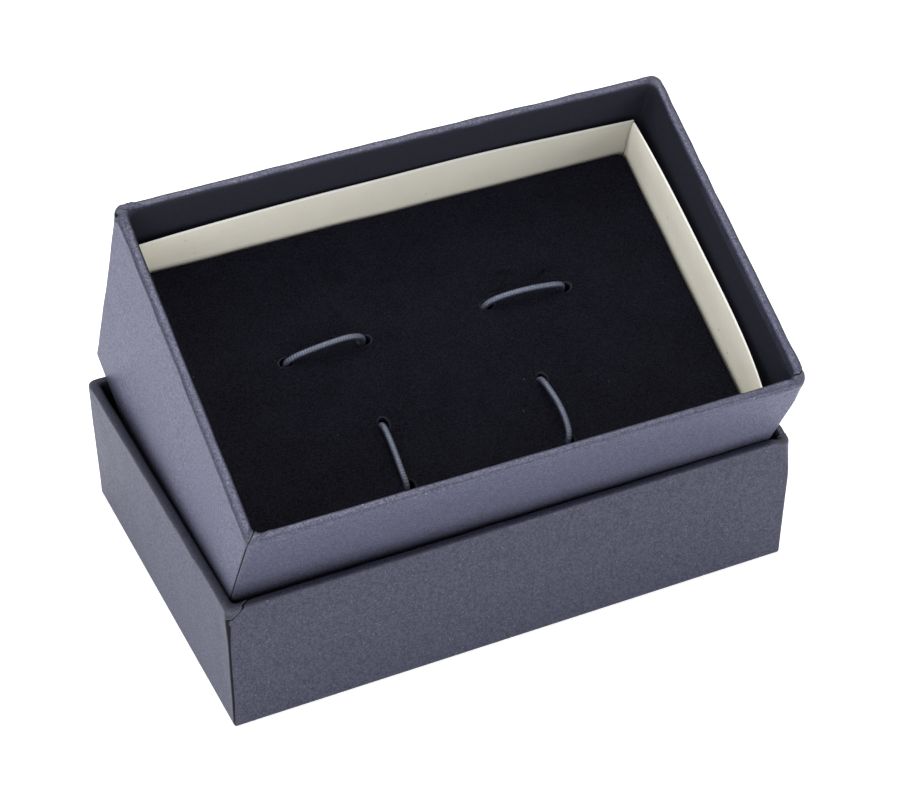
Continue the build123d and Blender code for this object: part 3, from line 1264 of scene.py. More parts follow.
        new = offset + np.arange(skirt[..., 0].size).reshape(skirt.shape[:2])
        table = np.concatenate((edge[None], new))
        faces.append(table.ravel()[grid_faces(len(drop) + 1, len(edge), False, True)[:, ::-1]])
        plans.append(skirt.reshape(-1, 2))
        drops.append(np.repeat(drop, len(edge)))
        masks.append(np.zeros(skirt[..., 0].size))
        plan, drop, hole_shade = np.concatenate(plans), np.concatenate(drops), np.concatenate(masks)
        height, pressed, ring = self.relief(plan)
        height = height * (1.0 - smooth_step(drop, self.edge_radius / 2.0, self.edge_radius + 1.6))
        points = np.column_stack((plan, self.top - drop + height))
        corners = np.concatenate([face.ravel() for face in faces])
        used, renumbered = np.unique(corners, return_inverse=True)
        skin = Skin(
            points[used],
            renumbered.reshape(-1, 4).tolist(),
            {"hole_shade": hole_shade[used], "pressed": pressed[used], "ring": ring[used]},
        )
        piece = skin.piece("pad_flocked_cover", self.stance, material, "insert", "flocked_cover")
        stiffen(piece, self.cover)
        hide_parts("pad_cover")
        return piece


# ---- Elastic loops -----------------------------------------------------------------------


def smooth_route(controls: Array) -> Array:
    """Points of the smooth line that follows a route: a NURBS curve of order 3.

    Args:
        controls: The route's own points, in millimetres.

    Returns:
        Points along the curve.
    """
    curve = bpy.data.curves.new("route", "CURVE")
    curve.dimensions = "3D"
    spline = curve.splines.new("NURBS")
    spline.points.add(len(controls) - 1)
    spline.points.foreach_set("co", np.column_stack((controls, np.ones(len(controls)))).ravel())
    spline.order_u = 3
    spline.use_endpoint_u = True
    spline.resolution_u = 24
    holder = put_in_scene("route", curve)
    mesh = bpy.data.meshes.new_from_object(holder)
    points = np.empty(len(mesh.vertices) * 3)
    mesh.vertices.foreach_get("co", points)
    bpy.data.objects.remove(holder)
    bpy.data.curves.remove(curve)
    bpy.data.meshes.remove(mesh)
    return points.reshape(-1, 3)


def evenly(points: Array, step: float) -> tuple[Array, Array]:
    """Points at equal distances along a line, and those distances.

    Args:
        points: Points of the line.
        step: Distance wanted between neighbours.

    Returns:
        The new points and their distances from the start.
    """
    along = np.concatenate(([0.0], np.cumsum(np.linalg.norm(np.diff(points, axis=0), axis=1))))
    count = int(math.ceil(along[-1] / step)) + 1
    wanted = np.linspace(0.0, along[-1], count)
    placed = [np.interp(wanted, along, points[:, axis]) for axis in range(3)]
    return np.stack(placed, axis=-1), wanted


def tube(line: Array, radius: Array, sides: int, reference: Array, ring: bool) -> Array:
    """Carries a round section along a line.

    A point is the line's point plus the radius times the sum of the cosine of an angle on one
    normal and its sine on the other. The first normal is square to the line and to the
    reference direction.

    Args:
        line: Points of the line.
        radius: Radius at each point of each ring, by row and column.
        sides: Number of points in a ring.
        reference: Direction that stays clear of the line's own.
        ring: Whether the line closes on itself.

    Returns:
        Points by row along the line and column round it.
    """
    if ring:
        run = np.roll(line, -1, axis=0) - np.roll(line, 1, axis=0)
    else:
        run = np.gradient(line, axis=0)
    run = of_length_one(run)
    first = of_length_one(np.cross(reference, run))
    second = np.cross(run, first)
    angle = ring_of(sides)[None, :, None]
    offset = np.cos(angle) * first[:, None] + np.sin(angle) * second[:, None]
    return line[:, None] + radius[..., None] * offset


@dataclass
class ElasticLoop:
    """Ribbed elastic cord through two holes of the pad, knotted under the platform."""

    place: LoopPlace
    stance: Stance
    pad_top: float = 24.6
    platform_under: float = 20.7
    slack: float = 1.5
    knot_size: float = 2.8
    tail: float = 2.0
    radius: float = 0.5
    rib: float = 0.4
    rib_depth: float = 0.035
    sides: int = 18
    step: float = 0.07
    knot_radius: float = 0.5
    knot_scale: float = 0.3
    knot_steps: int = 72
    knot_sides: int = 12

    def route(self) -> Array:
        """Points that the cord's middle line follows, from one tail to the other."""
        first, second = np.array(self.place.first), np.array(self.place.second)
        way = second - first
        leftwards = np.array((-way[1], way[0])) / np.linalg.norm(way)
        share, aside, over = np.array(self.place.arch).T
        plan = first + share[:, None] * way + aside[:, None] * leftwards
        arch = np.column_stack((plan, self.pad_top + over))
        foot = self.platform_under - self.slack - self.knot_size - self.tail
        knot = foot + self.tail + self.knot_size
        start = np.array(((*first, foot), (*first, knot)))
        end = np.array(((*second, knot), (*second, foot)))
        return np.concatenate((start, arch, end))

    def cord(self) -> tuple[Array, Array, float]:
        """Ribbed tube along the route.

        The radius is the cord's own, less a little between the ribs, which are the crests of
        a sine wave that winds round the cord.

        Returns:
            Points by row and column, depth between the ribs, and the cord's length.
        """
        line, along = evenly(smooth_route(self.route()), self.step)
        first, second = np.array(self.place.first), np.array(self.place.second)
        across = np.append((second - first)[::-1] * np.array((-1.0, 1.0)), 0.0)
        wave = np.sin(2.0 * math.pi * along[:, None] / self.rib + ring_of(self.sides)[None])
        furrow = (0.5 - 0.5 * wave) ** 1.5
        radius = self.radius * (1.0 - self.rib_depth * 2.0 * furrow)
        return tube(line, radius, self.sides, across, False), furrow, float(along[-1])

    def knots(self) -> Array:
        """Trefoil knot under each hole.

        The line is (sin t + 2 sin 2t, cos t - 2 cos 2t, -2.2 sin 3t), scaled.

        Returns:
            Points by knot, row and column.
        """
        turn = ring_of(self.knot_steps)
        line = self.knot_scale * np.stack(
            (
                np.sin(turn) + 2.0 * np.sin(2.0 * turn),
                np.cos(turn) - 2.0 * np.cos(2.0 * turn),
                -2.2 * np.sin(3.0 * turn),
            ),
            axis=-1,
        )
        radius = np.full((len(turn), self.knot_sides), self.knot_radius)
        ring = tube(line, radius, self.knot_sides, np.array((0.0, 0.0, 1.0)), True)
        height = self.platform_under - self.slack - self.knot_size / 2.0
        holes = (self.place.first, self.place.second)
        return np.stack([ring + np.array((*hole, height)) for hole in holes])

    def build(self, material: Material) -> Piece:
        """Makes the loop with its two knots.

        Args:
            material: Finish of the elastic.

        Returns:
            The piece.
        """
        cord, furrow, length = self.cord()
        rows, columns = cord.shape[:2]
        knots = self.knots()
        count = rows * columns
        tips = cord[[0, -1]].mean(axis=1)
        faces = tube_faces(rows, columns, 2)
        for knot in range(2):
            start = count + 2 + knot * knots[0, ..., 0].size
            faces += (grid_faces(*knots.shape[1:3], True, True) + start).tolist()
        points = np.concatenate((cord.reshape(-1, 3), tips, knots.reshape(-1, 3)))
        # Painted highlight along the top side of the cord.
        top_highlight = smooth_step(-np.cos(ring_of(columns)), 0.2, 1.0)
        masks = {"furrow": furrow, "upper": np.broadcast_to(top_highlight, furrow.shape)}
        rest = np.zeros(len(points) - count)
        masks = {key: np.append(mask.ravel(), rest) for key, mask in masks.items()}
        name = self.place.name
        body = f"loop_{name}_cord"
        skin = Skin(points, faces, masks)
        piece = skin.piece(f"{body}_and_knots", self.stance, material, body, "elastic_cord")
        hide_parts(f"elastic_loop_{name}")
        log.info("loop %s: %.1f mm of cord", name, length)
        return piece


# ---- Finishes ----------------------------------------------------------------------------

SEAM_DARK: Colour = (0.0015, 0.0015, 0.003)
# Painted shade inside the pad's holes and along its dents.
HOLE_SHADE: Colour = (0.0006, 0.0006, 0.001)
# Painted highlight on the lip of each hole.
HOLE_LIP_HIGHLIGHT: Colour = (0.035, 0.036, 0.05)


class Bench:
    """Node tree of a material or group, with short ways to place nodes and join them."""

    def __init__(self, tree: bpy.types.NodeTree) -> None:
        """Keeps the tree."""
        self.tree = tree

    def node(self, kind: str, **settings: object) -> bpy.types.Node:
        """Places a node.

        Args:
            kind: Type of the node.
            **settings: Properties to be set on it.

        Returns:
            The node.
        """
        node = self.tree.nodes.new(kind)
        for name, value in settings.items():
            setattr(node, name, value)
        return node

    def put(self, socket: Socket, value: object) -> None:
        """Joins a value to a socket, or sets it there.

        Args:
            socket: Input socket.
            value: Output socket, number, vector or colour.
        """
        if isinstance(value, bpy.types.NodeSocket):
            self.tree.links.new(value, socket)
        elif isinstance(value, tuple) and socket.type == "RGBA":
            socket.default_value = (*value, 1.0)
        else:
            socket.default_value = value

    def fill(self, node: bpy.types.Node, **values: object) -> bpy.types.Node:
        """Sets a node's inputs.

        Args:
            node: The node.
            **values: Its inputs by name, with underscores for spaces.

        Returns:
            The node.
        """
        for name, value in values.items():
            self.put(node.inputs[name.replace("_", " ")], value)
        return node

    def math(self, operation: str, *values: object) -> Socket:
        """Sum, product or the like of two values.

        Args:
            operation: Name of the operation.
            *values: Sockets or numbers.

        Returns:
            The result.
        """
        node = self.node("ShaderNodeMath", operation=operation)
        for socket, value in zip(node.inputs, values):
            self.put(socket, value)
        return node.outputs[0]

    def spread(
        self, value: object, low: float, high: float, to_low: float = 0.0, to_high: float = 1.0
    ) -> Socket:
        """Maps one range of a value to another, smoothly and without passing its ends.

        Args:
            value: Value to be mapped.
            low: Value that gives to_low.
            high: Value that gives to_high.
            to_low: Lower end of the result.
            to_high: Upper end of the result.

        Returns:
            The mapped value.
        """
        node = self.node("ShaderNodeMapRange", interpolation_type="SMOOTHSTEP")
        for socket, number in zip(node.inputs, (value, low, high, to_low, to_high)):
            self.put(socket, number)
        return node.outputs[0]

    def tint(self, factor: object, first: object, second: object, way: str = "MIX") -> Socket:
        """Mixes two colours.

        Args:
            factor: Share of the second.
            first: First colour.
            second: Second colour.
            way: How they are mixed.

        Returns:
            The colour.
        """
        node = self.node("ShaderNodeMix", data_type="RGBA", blend_type=way)
        self.put(node.inputs[0], factor)
        self.put(node.inputs[6], first)
        self.put(node.inputs[7], second)
        return node.outputs[2]

    def noise(self, vector: Socket, scale: object, detail: float, rough: float = 0.5) -> Socket:
        """Soft random pattern.

        Args:
            vector: Place in the pattern.
            scale: Size of the pattern; higher is finer.
            detail: Number of finer layers.
            rough: Strength of the finer layers.

        Returns:
            A value about 0.5.
        """
        node = self.node("ShaderNodeTexNoise")
        self.fill(node, Vector=vector, Scale=scale, Detail=detail, Roughness=rough)
        return node.outputs["Fac"]

    def mask(self, name: str) -> Socket:
        """Mask stored on the piece."""
        return self.node("ShaderNodeAttribute", attribute_name=name).outputs["Fac"]

    def place(self) -> Socket:
        """Place on the object, in metres."""
        return self.node("ShaderNodeTexCoord").outputs["Object"]

    def weigh(self, first: object, second: object, share: float) -> Socket:
        """Sum of a share of the first value and the rest of the second."""
        rest = self.math("MULTIPLY", second, 1.0 - share)
        return self.math("ADD", self.math("MULTIPLY", first, share), rest)

    def cells(self, vector: Socket, scale: object) -> bpy.types.Node:
        """Places a pattern of cells."""
        return self.fill(self.node("ShaderNodeTexVoronoi"), Vector=vector, Scale=scale)

    def relief(self, height: Socket, depth: float, strength: float = 1.0) -> Socket:
        """Normal of a surface with a fine relief.

        Args:
            height: Height of the relief, from 0 to 1.
            depth: What a height of 1 is, in metres.
            strength: Strength of the effect.

        Returns:
            The normal.
        """
        node = self.node("ShaderNodeBump")
        self.fill(node, Strength=strength, Distance=depth, Height=height)
        return node.outputs["Normal"]


def new_group(
    name: str, inputs: dict[str, str], outputs: dict[str, str]
) -> tuple[Bench, bpy.types.Node, bpy.types.Node]:
    """Starts a node group.

    Args:
        name: Its name.
        inputs: Kinds of its input sockets, by name.
        outputs: Kinds of its output sockets, by name.

    Returns:
        Its bench, input node and output node.
    """
    tree = bpy.data.node_groups.new(name, "ShaderNodeTree")
    for way, sockets in (("INPUT", inputs), ("OUTPUT", outputs)):
        for socket, kind in sockets.items():
            tree.interface.new_socket(socket, in_out=way, socket_type=f"NodeSocket{kind}")
    bench = Bench(tree)
    return bench, bench.node("NodeGroupInput"), bench.node("NodeGroupOutput")


def sheet_fibres() -> bpy.types.NodeTree:
    """Group for paper and card: soft clouds, and fibres that run more one way than the other."""
    inputs = {"Vector": "Vector", "Cloud Scale": "Float", "Fibre Scale": "Float", "Run": "Vector"}
    bench, source, result = new_group("sheet_fibres", inputs, {"Clouds": "Float", "Fibres": "Float"})
    vector, cloud_scale, fibre_scale, run = source.outputs[:4]
    drawn = bench.node("ShaderNodeVectorMath", operation="MULTIPLY")
    bench.put(drawn.inputs[0], vector)
    bench.put(drawn.inputs[1], run)
    clouds = bench.spread(bench.noise(vector, cloud_scale, 3.0, 0.6), 0.3, 0.7)
    fibres = bench.spread(bench.noise(drawn.outputs[0], fibre_scale, 2.0, 0.65), 0.3, 0.7)
    bench.fill(result, Clouds=clouds, Fibres=fibres)
    return bench.tree


def stray_flecks() -> bpy.types.NodeTree:
    """Group for flecks, lint and specks: small dots at a drawn share of a cell pattern."""
    inputs = {"Vector": "Vector", "Scale": "Float", "Size": "Float", "Share": "Float"}
    bench, source, result = new_group("stray_flecks", inputs, {"Flecks": "Float"})
    vector, scale, size, share = source.outputs[:4]
    cells = bench.cells(vector, scale)
    drawn = bench.node("ShaderNodeSeparateColor")
    bench.put(drawn.inputs[0], cells.outputs["Color"])
    near = bench.math("LESS_THAN", cells.outputs["Distance"], size)
    chosen = bench.math("LESS_THAN", drawn.outputs[0], share)
    bright = bench.math("MULTIPLY", near, drawn.outputs[1])
    bench.put(result.inputs["Flecks"], bench.math("MULTIPLY", bright, chosen))
    return bench.tree


def new_material(name: str) -> tuple[Material, Bench, bpy.types.Node]:
    """Starts a material with one Principled shader.

    Args:
        name: Its name.

    Returns:
        The material, its bench and its shader node.
    """
    material = bpy.data.materials.new(name)
    material.use_nodes = True
    bench = Bench(material.node_tree)
    return material, bench, material.node_tree.nodes["Principled BSDF"]


@dataclass(frozen=True)
class SharedEffects:
    """Node groups that more than one finish uses."""

    fibres: bpy.types.NodeTree
    flecks: bpy.types.NodeTree

    def sheet(
        self, bench: Bench, cloud_scale: float, fibre_scale: float, run: tuple = (1.0, 1.0, 1.0)
    ) -> tuple[Socket, Socket]:
        """Places the clouds and fibres of a sheet or pile.

        Args:
            bench: Bench of the material.
            cloud_scale: Fineness of the clouds.
            fibre_scale: Fineness of the fibres.
            run: How fine the fibres are along each axis.

        Returns:
            Clouds and fibres.
        """
        node = bench.node("ShaderNodeGroup", node_tree=self.fibres)
        bench.fill(
            node, Vector=bench.place(), Cloud_Scale=cloud_scale, Fibre_Scale=fibre_scale, Run=run
        )
        return node.outputs["Clouds"], node.outputs["Fibres"]

    def specks(self, bench: Bench, scale: float, size: float, share: float) -> Socket:
        """Places scattered specks.

        Args:
            bench: Bench of the material.
            scale: Fineness of the cells that the specks lie in.
            size: Radius of a speck, as a share of its cell.
            share: Share of the cells that have one.

        Returns:
            Mask of the specks.
        """
        node = bench.node("ShaderNodeGroup", node_tree=self.flecks)
        bench.fill(node, Vector=bench.place(), Scale=scale, Size=size, Share=share)
        return node.outputs["Flecks"]


@dataclass(frozen=True)
class PearlPaper:
    """Covering paper: pearl outside, and where it is turned in a plain dark navy that is partly its
    own colour and partly painted shade.
    """

    name: str
    deep: Colour
    pale: Colour
    fleck: Colour
    inner: Colour
    cut: Colour
    wear_and_highlight: Colour
    pearl: float = 0.6
    roughness: float = 0.45

    def material(self, effects: SharedEffects) -> Material:
        """Builds the material: clouds and fibres of pigment, pearl flecks, a painted shade line along
        the rim's outer edge, the navy turn-in that is partly painted shade, and edges.
        """
        material, bench, shader = new_material(self.name)
        mixed = bench.weigh(*effects.sheet(bench, 1500.0, 4000.0, (1.0, 1.0, 0.9)), 0.2)
        flecks = effects.specks(bench, 1900.0, 0.2, 0.12)
        rim_edge_shade, worn, inside = bench.mask("rim_edge_shade"), bench.mask("worn"), bench.mask("inside")
        cut_edge, gap = bench.mask("cut_edge"), bench.mask("gap")
        pearl = bench.tint(mixed, self.deep, self.pale)
        pearl = bench.tint(bench.math("MULTIPLY", flecks, 0.5), pearl, self.fleck)
        # Painted shade line along the rim's outer edge, darkened towards the navy.
        pearl = bench.tint(bench.math("MULTIPLY", rim_edge_shade, 0.4), pearl, self.inner)
        pearl = bench.tint(bench.math("MULTIPLY", worn, 0.3), pearl, self.wear_and_highlight)
        inner = bench.tint(mixed, tuple(0.7 * part for part in self.inner), self.inner)
        # Turned in, the paper is plain navy without pearl: partly its own colour, partly painted
        # shade.
        colour = bench.tint(inside, pearl, inner)
        colour = bench.tint(cut_edge, colour, self.cut)
        colour = bench.tint(gap, colour, SEAM_DARK)
        plain = bench.math("MAXIMUM", bench.math("MAXIMUM", inside, gap), cut_edge)
        pearly = bench.spread(plain, 0.0, 1.0, self.pearl, 0.0)
        rough = bench.spread(mixed, 0.2, 0.8, self.roughness + 0.05, self.roughness - 0.05)
        bench.fill(
            shader,
            Base_Color=colour,
            Metallic=bench.math("MULTIPLY", pearly, bench.spread(worn, 0.0, 1.0, 1.0, 0.4)),
            Roughness=bench.math("MAXIMUM", rough, bench.math("MULTIPLY", plain, 0.9)),
            Specular_IOR_Level=0.25,
            Specular_Tint=(0.8, 0.82, 1.0),
            Normal=bench.relief(mixed, 0.00003, 0.35),
        )
        return material


@dataclass(frozen=True)
class SheetStock:
    """Plain paper or board: a colour with clouds, fibres and a few specks, darkened where the piece
    stores painted shade.
    """

    name: str
    deep: Colour
    pale: Colour
    speck: Colour
    cut: Colour
    cloud_scale: float = 260.0
    fibre_scale: float = 3200.0
    speck_share: float = 0.03
    roughness: float = 0.8
    relief: float = 0.00003
    shade: float = 0.42

    def material(self, effects: SharedEffects) -> Material:
        """Builds the material."""
        material, bench, shader = new_material(self.name)
        clouds, fibres = effects.sheet(bench, self.cloud_scale, self.fibre_scale, (0.5, 1.0, 1.0))
        mixed = bench.weigh(clouds, fibres, 0.5)
        colour = bench.tint(mixed, self.deep, self.pale)
        colour = bench.tint(effects.specks(bench, 1400.0, 0.3, self.speck_share), colour, self.speck)
        colour = bench.tint(bench.mask("cut_edge"), colour, self.cut)
        # Painted shade, from the piece's shaded mask.
        shade = bench.math("MULTIPLY", bench.mask("shaded"), self.shade)
        bench.fill(
            shader,
            Base_Color=bench.tint(shade, colour, tuple(0.2 * part for part in self.deep)),
            Roughness=bench.spread(fibres, 0.0, 1.0, self.roughness - 0.05, self.roughness + 0.05),
            Specular_IOR_Level=0.3,
            Normal=bench.relief(mixed, self.relief, 0.6),
        )
        return material


@dataclass(frozen=True)
class FoamStock:
    """Dark foam with open cells, each painted darker at its middle as shade in its hollow."""

    name: str
    cell: Colour
    skin: Colour

    def material(self, effects: SharedEffects) -> Material:
        """Builds the material."""
        material, bench, shader = new_material(self.name)
        cells = bench.cells(bench.place(), 2400.0)
        pits = bench.spread(cells.outputs["Distance"], 0.1, 0.6)
        # Painted shade: each cell darker at its middle, where its pit is deepest.
        colour = bench.tint(pits, self.cell, self.skin)
        bench.fill(
            shader,
            Base_Color=bench.tint(effects.specks(bench, 1800.0, 0.3, 0.05), colour, self.skin),
            Roughness=bench.spread(pits, 0.0, 1.0, 0.95, 0.8),
            Normal=bench.relief(pits, 0.00012, 0.8),
        )
        return material


@dataclass(frozen=True)
class Flock:
    """Short dense pile, almost black, with lint and a soft sheen."""

    name: str
    deep: Colour
    pale: Colour
    sheen: Colour
    lint: Colour

    def material(self, effects: SharedEffects) -> Material:
        """Builds the material: pile, brushed clouds, lint, painted shade in the dents and holes, and
        painted highlight rings on the holes' lips.
        """
        material, bench, shader = new_material(self.name)
        clouds, pile = effects.sheet(bench, 150.0, 4200.0)
        colour = bench.tint(bench.weigh(clouds, pile, 0.15), self.deep, self.pale)
        colour = bench.tint(effects.specks(bench, 900.0, 0.12, 0.02), colour, self.lint)
        # Painted shade along the dents and inside the holes.
        pressed = bench.math("MULTIPLY", bench.mask("pressed"), 0.75)
        hole_and_dent_shade = bench.math("MAXIMUM", bench.mask("hole_shade"), pressed)
        colour = bench.tint(hole_and_dent_shade, colour, HOLE_SHADE)
        # Painted highlight on the holes' lips.
        colour = bench.tint(bench.math("MULTIPLY", bench.mask("ring"), 0.8), colour, HOLE_LIP_HIGHLIGHT)
        bench.fill(
            shader,
            Base_Color=colour,
            Roughness=bench.spread(pile, 0.0, 1.0, 1.0, 0.86),
            Specular_IOR_Level=0.05,
            Sheen_Weight=0.04,
            Sheen_Roughness=0.45,
            Sheen_Tint=self.sheen,
            Normal=bench.relief(pile, 0.00008, 0.7),
        )
        return material


@dataclass(frozen=True)
class RibbedElastic:
    """Covered elastic: dark threads wound round the rubber, with a painted highlight along the cord's
    top and painted shade in the furrows between the ribs.
    """

    name: str
    thread: Colour
    lit: Colour
    # Colour of the painted shade in the furrows between the ribs.
    furrow: Colour
    # Colour of the painted highlight along the cord's top.
    wear_and_highlight: Colour

    def material(self, effects: SharedEffects) -> Material:
        """Builds the material."""
        material, bench, shader = new_material(self.name)
        _, fibres = effects.sheet(bench, 500.0, 6000.0)
        colour = bench.tint(fibres, self.thread, self.lit)
        # Painted highlight on the cord's top.
        top_highlight_share = bench.math("MULTIPLY", bench.mask("upper"), bench.spread(fibres, 0.25, 0.75, 0.35, 1.0))
        colour = bench.tint(top_highlight_share, colour, self.wear_and_highlight)
        # Painted shade in the furrows between the ribs.
        furrow = bench.spread(bench.mask("furrow"), 0.35, 1.0, 0.0, 0.6)
        bench.fill(
            shader,
            Base_Color=bench.tint(furrow, colour, self.furrow),
            Roughness=bench.spread(fibres, 0.0, 1.0, 0.5, 0.38),
            Specular_IOR_Level=0.9,
            Specular_Tint=(0.75, 0.82, 1.0),
            Normal=bench.relief(fibres, 0.00003, 0.5),
        )
        return material


# ---- Lid, tray and insert ----------------------------------------------------------------

TRAY_STANCE = Stance(half_width=27.15, edge_y=-16.9684, edge_z=1.1994, tilt=25.6551, yaw=0.6228)


@dataclass
class Lid(SetUpBox):
    """Upturned lid on the surface, its open side up."""

    name: str = "lid"
    stance: Stance = Stance(half_width=29.1, edge_y=-29.1)
    length: float = 90.0
    width: float = 58.2
    height: float = 22.4
    turn_in: float = 15.0
    corner_radius: float = 0.35
    bottom_radius: float = 0.4
    bow: FourSides = (0.1, 0.0, 0.0, 0.0)
    lean: tuple = ((0.0, 0.0), (0.75, 0.0), (0.5, 0.0), (0.5, 0.0))
    lean_from: tuple[float, float] = (-2.0, 0.0)
    corner_sag: FourCorners = (0.1, 0.5, 0.1, 0.1)
    # The lid's dark navy starts about the rim's middle, as painted shade on the rim's inner half.
    navy_and_shade_from: FourCorners = (0.4, 0.3, 0.3, 0.35)
    rim_wave: float = 0.03
    rim_corner_radius: FourCorners = (0.9, 1.6, 1.2, 1.1)
    bunch: FourCorners = (0.04, 0.04, 0.05, 0.06)
    seams: tuple[Seam, ...] = (
        Seam(Corner.FRONT_LEFT, -0.4, -0.4, 1, lift=0.04, gap=0.55, edge=0.1, flare=2.1),
        Seam(Corner.FRONT_RIGHT, 0.9, 0.1, 1, gap=0.22, edge=0.1),
    )
    creases: tuple[Crease, ...] = (
        Crease(Corner.FRONT_LEFT, -3.5, -6.0, -0.06, 2.5, 0.6, 60.0),
        Crease(Corner.BACK_LEFT, 3.0, -2.4, 0.05, 2.0, 0.5, 20.0),
    )
    seed: int = 11


@dataclass
class Tray(SetUpBox):
    """Tray propped askew in the lid, leaning back over its rim."""

    name: str = "tray"
    stance: Stance = TRAY_STANCE
    length: float = 86.1
    width: float = 54.3
    height: float = 42.0
    turn_in: float = 20.0
    bow: FourSides = (0.0, 0.0, 0.25, 0.0)
    lean: tuple = ((0.0, 0.75), (0.3, 0.75), (0.62, 0.6), (0.0, 0.65))
    lean_from: tuple[float, float] = (-60.0, 24.0)
    rim_edge_shades: FourSides = (0.25, 0.1, 0.25, 1.0)
    # Start of the dark turned-in navy, partly painted shade, at each corner.
    navy_and_shade_from: FourCorners = (0.7, 2.4, 0.45, 0.3)
    corner_sag: FourCorners = (0.1, 0.2, 0.15, 0.2)
    inner_corner: float = 1.2
    rim_corner_radius: FourCorners = (1.1, 2.0, 1.3, 1.2)
    bunch: FourCorners = (0.05, 0.06, 0.05, 0.2)
    seams: tuple[Seam, ...] = (
        Seam(Corner.FRONT_RIGHT, 1.3, 0.2, -1, lift=0.03, gap=0.24, edge=0.1),
        Seam(Corner.FRONT_LEFT, -0.1, -0.1, -1, lift=0.04, gap=0.2, edge=0.08),
    )
    creases: tuple[Crease, ...] = (
        Crease(Corner.FRONT_LEFT, 1.1, 0.1, 0.22, 1.0, 0.25, 45.0),
        Crease(Corner.FRONT_RIGHT, -2.2, -1.0, 0.12, 2.6, 0.4, 25.0),
        Crease(Corner.BACK_LEFT, -1.3, 0.1, 0.3, 0.9, 0.2, 65.0),
        Crease(Corner.BACK_LEFT, -2.5, 0.3, 0.22, 1.1, 0.25, 110.0),
        Crease(Corner.BACK_LEFT, 0.1, 0.5, 0.32, 0.8, 0.2, 15.0),
        Crease(Corner.BACK_LEFT, 1.4, -0.1, 0.34, 0.9, 0.2, -50.0),
        Crease(Corner.BACK_LEFT, 2.4, 0.1, 0.26, 0.8, 0.22, 60.0),
        Crease(Corner.BACK_LEFT, 3.6, -0.4, 0.2, 1.2, 0.25, 20.0),
        Crease(Corner.BACK_LEFT, 0.95, -0.7, -0.08, 0.5, 0.3, 80.0, torn=1.0),
        Crease(Corner.BACK_LEFT, 1.25, -1.4, -0.08, 0.4, 0.3, 80.0, torn=1.0),
        Crease(Corner.BACK_LEFT, 1.0, -2.1, -0.06, 0.4, 0.3, 80.0, torn=0.7),
    )
    seed: int = 23


LOOP_PLACES = (
    LoopPlace(
        "back_left",
        (-22.9, 5.2),
        (-10.5, 5.45),
        (
            (0.01, 0.0, -1.2), (0.0, 0.0, 0.3), (0.15, 0.0, 1.45), (0.5, 0.0, 2.3),
            (0.8, 0.0, 2.5), (0.97, 0.0, 1.2), (0.985, 0.0, -1.2),
        ),
    ),
    LoopPlace(
        "back_right",
        (9.65, 5.8),
        (22.2, 5.3),
        (
            (-0.02, 0.0, -1.2), (-0.03, 0.0, 0.2), (0.1, 0.0, 1.5), (0.45, 0.0, 2.2),
            (0.82, 0.0, 1.7), (0.965, 0.0, 1.0), (0.975, 0.0, -1.2),
        ),
    ),
    LoopPlace(
        "front_left",
        (-12.75, -8.35),
        (-12.75, -18.85),
        (
            (0.0, -0.35, -1.2), (0.02, -0.45, 0.5), (0.2, -0.45, 1.0), (0.5, -0.55, 1.15),
            (0.8, -0.7, 1.05), (0.98, -0.6, 0.6), (1.0, -0.4, -1.2),
        ),
    ),
    LoopPlace(
        "front_right",
        (12.75, -8.35),
        (12.75, -18.85),
        (
            (0.0, -0.4, -1.2), (0.0, -0.45, 0.6), (0.2, -0.35, 1.6), (0.55, 0.05, 2.0),
            (0.87, 0.0, 1.6), (1.01, -0.4, 0.9), (1.0, -0.4, -1.2),
        ),
    ),
)
DENTS = (
    Dent(14.5, 10.25, 1.8, 0.32, 0.22, -14.0),
    Dent(20.0, 8.65, 2.2, 0.3, 0.2, 16.0),
)


@dataclass(frozen=True)
class Workshop:
    """All finishes of the object."""

    lid_paper: Material
    tray_paper: Material
    greyboard: Material
    tape: Material
    lining: Material
    liner: Material
    platform: Material
    foam: Material
    flock: Material
    elastic: Material


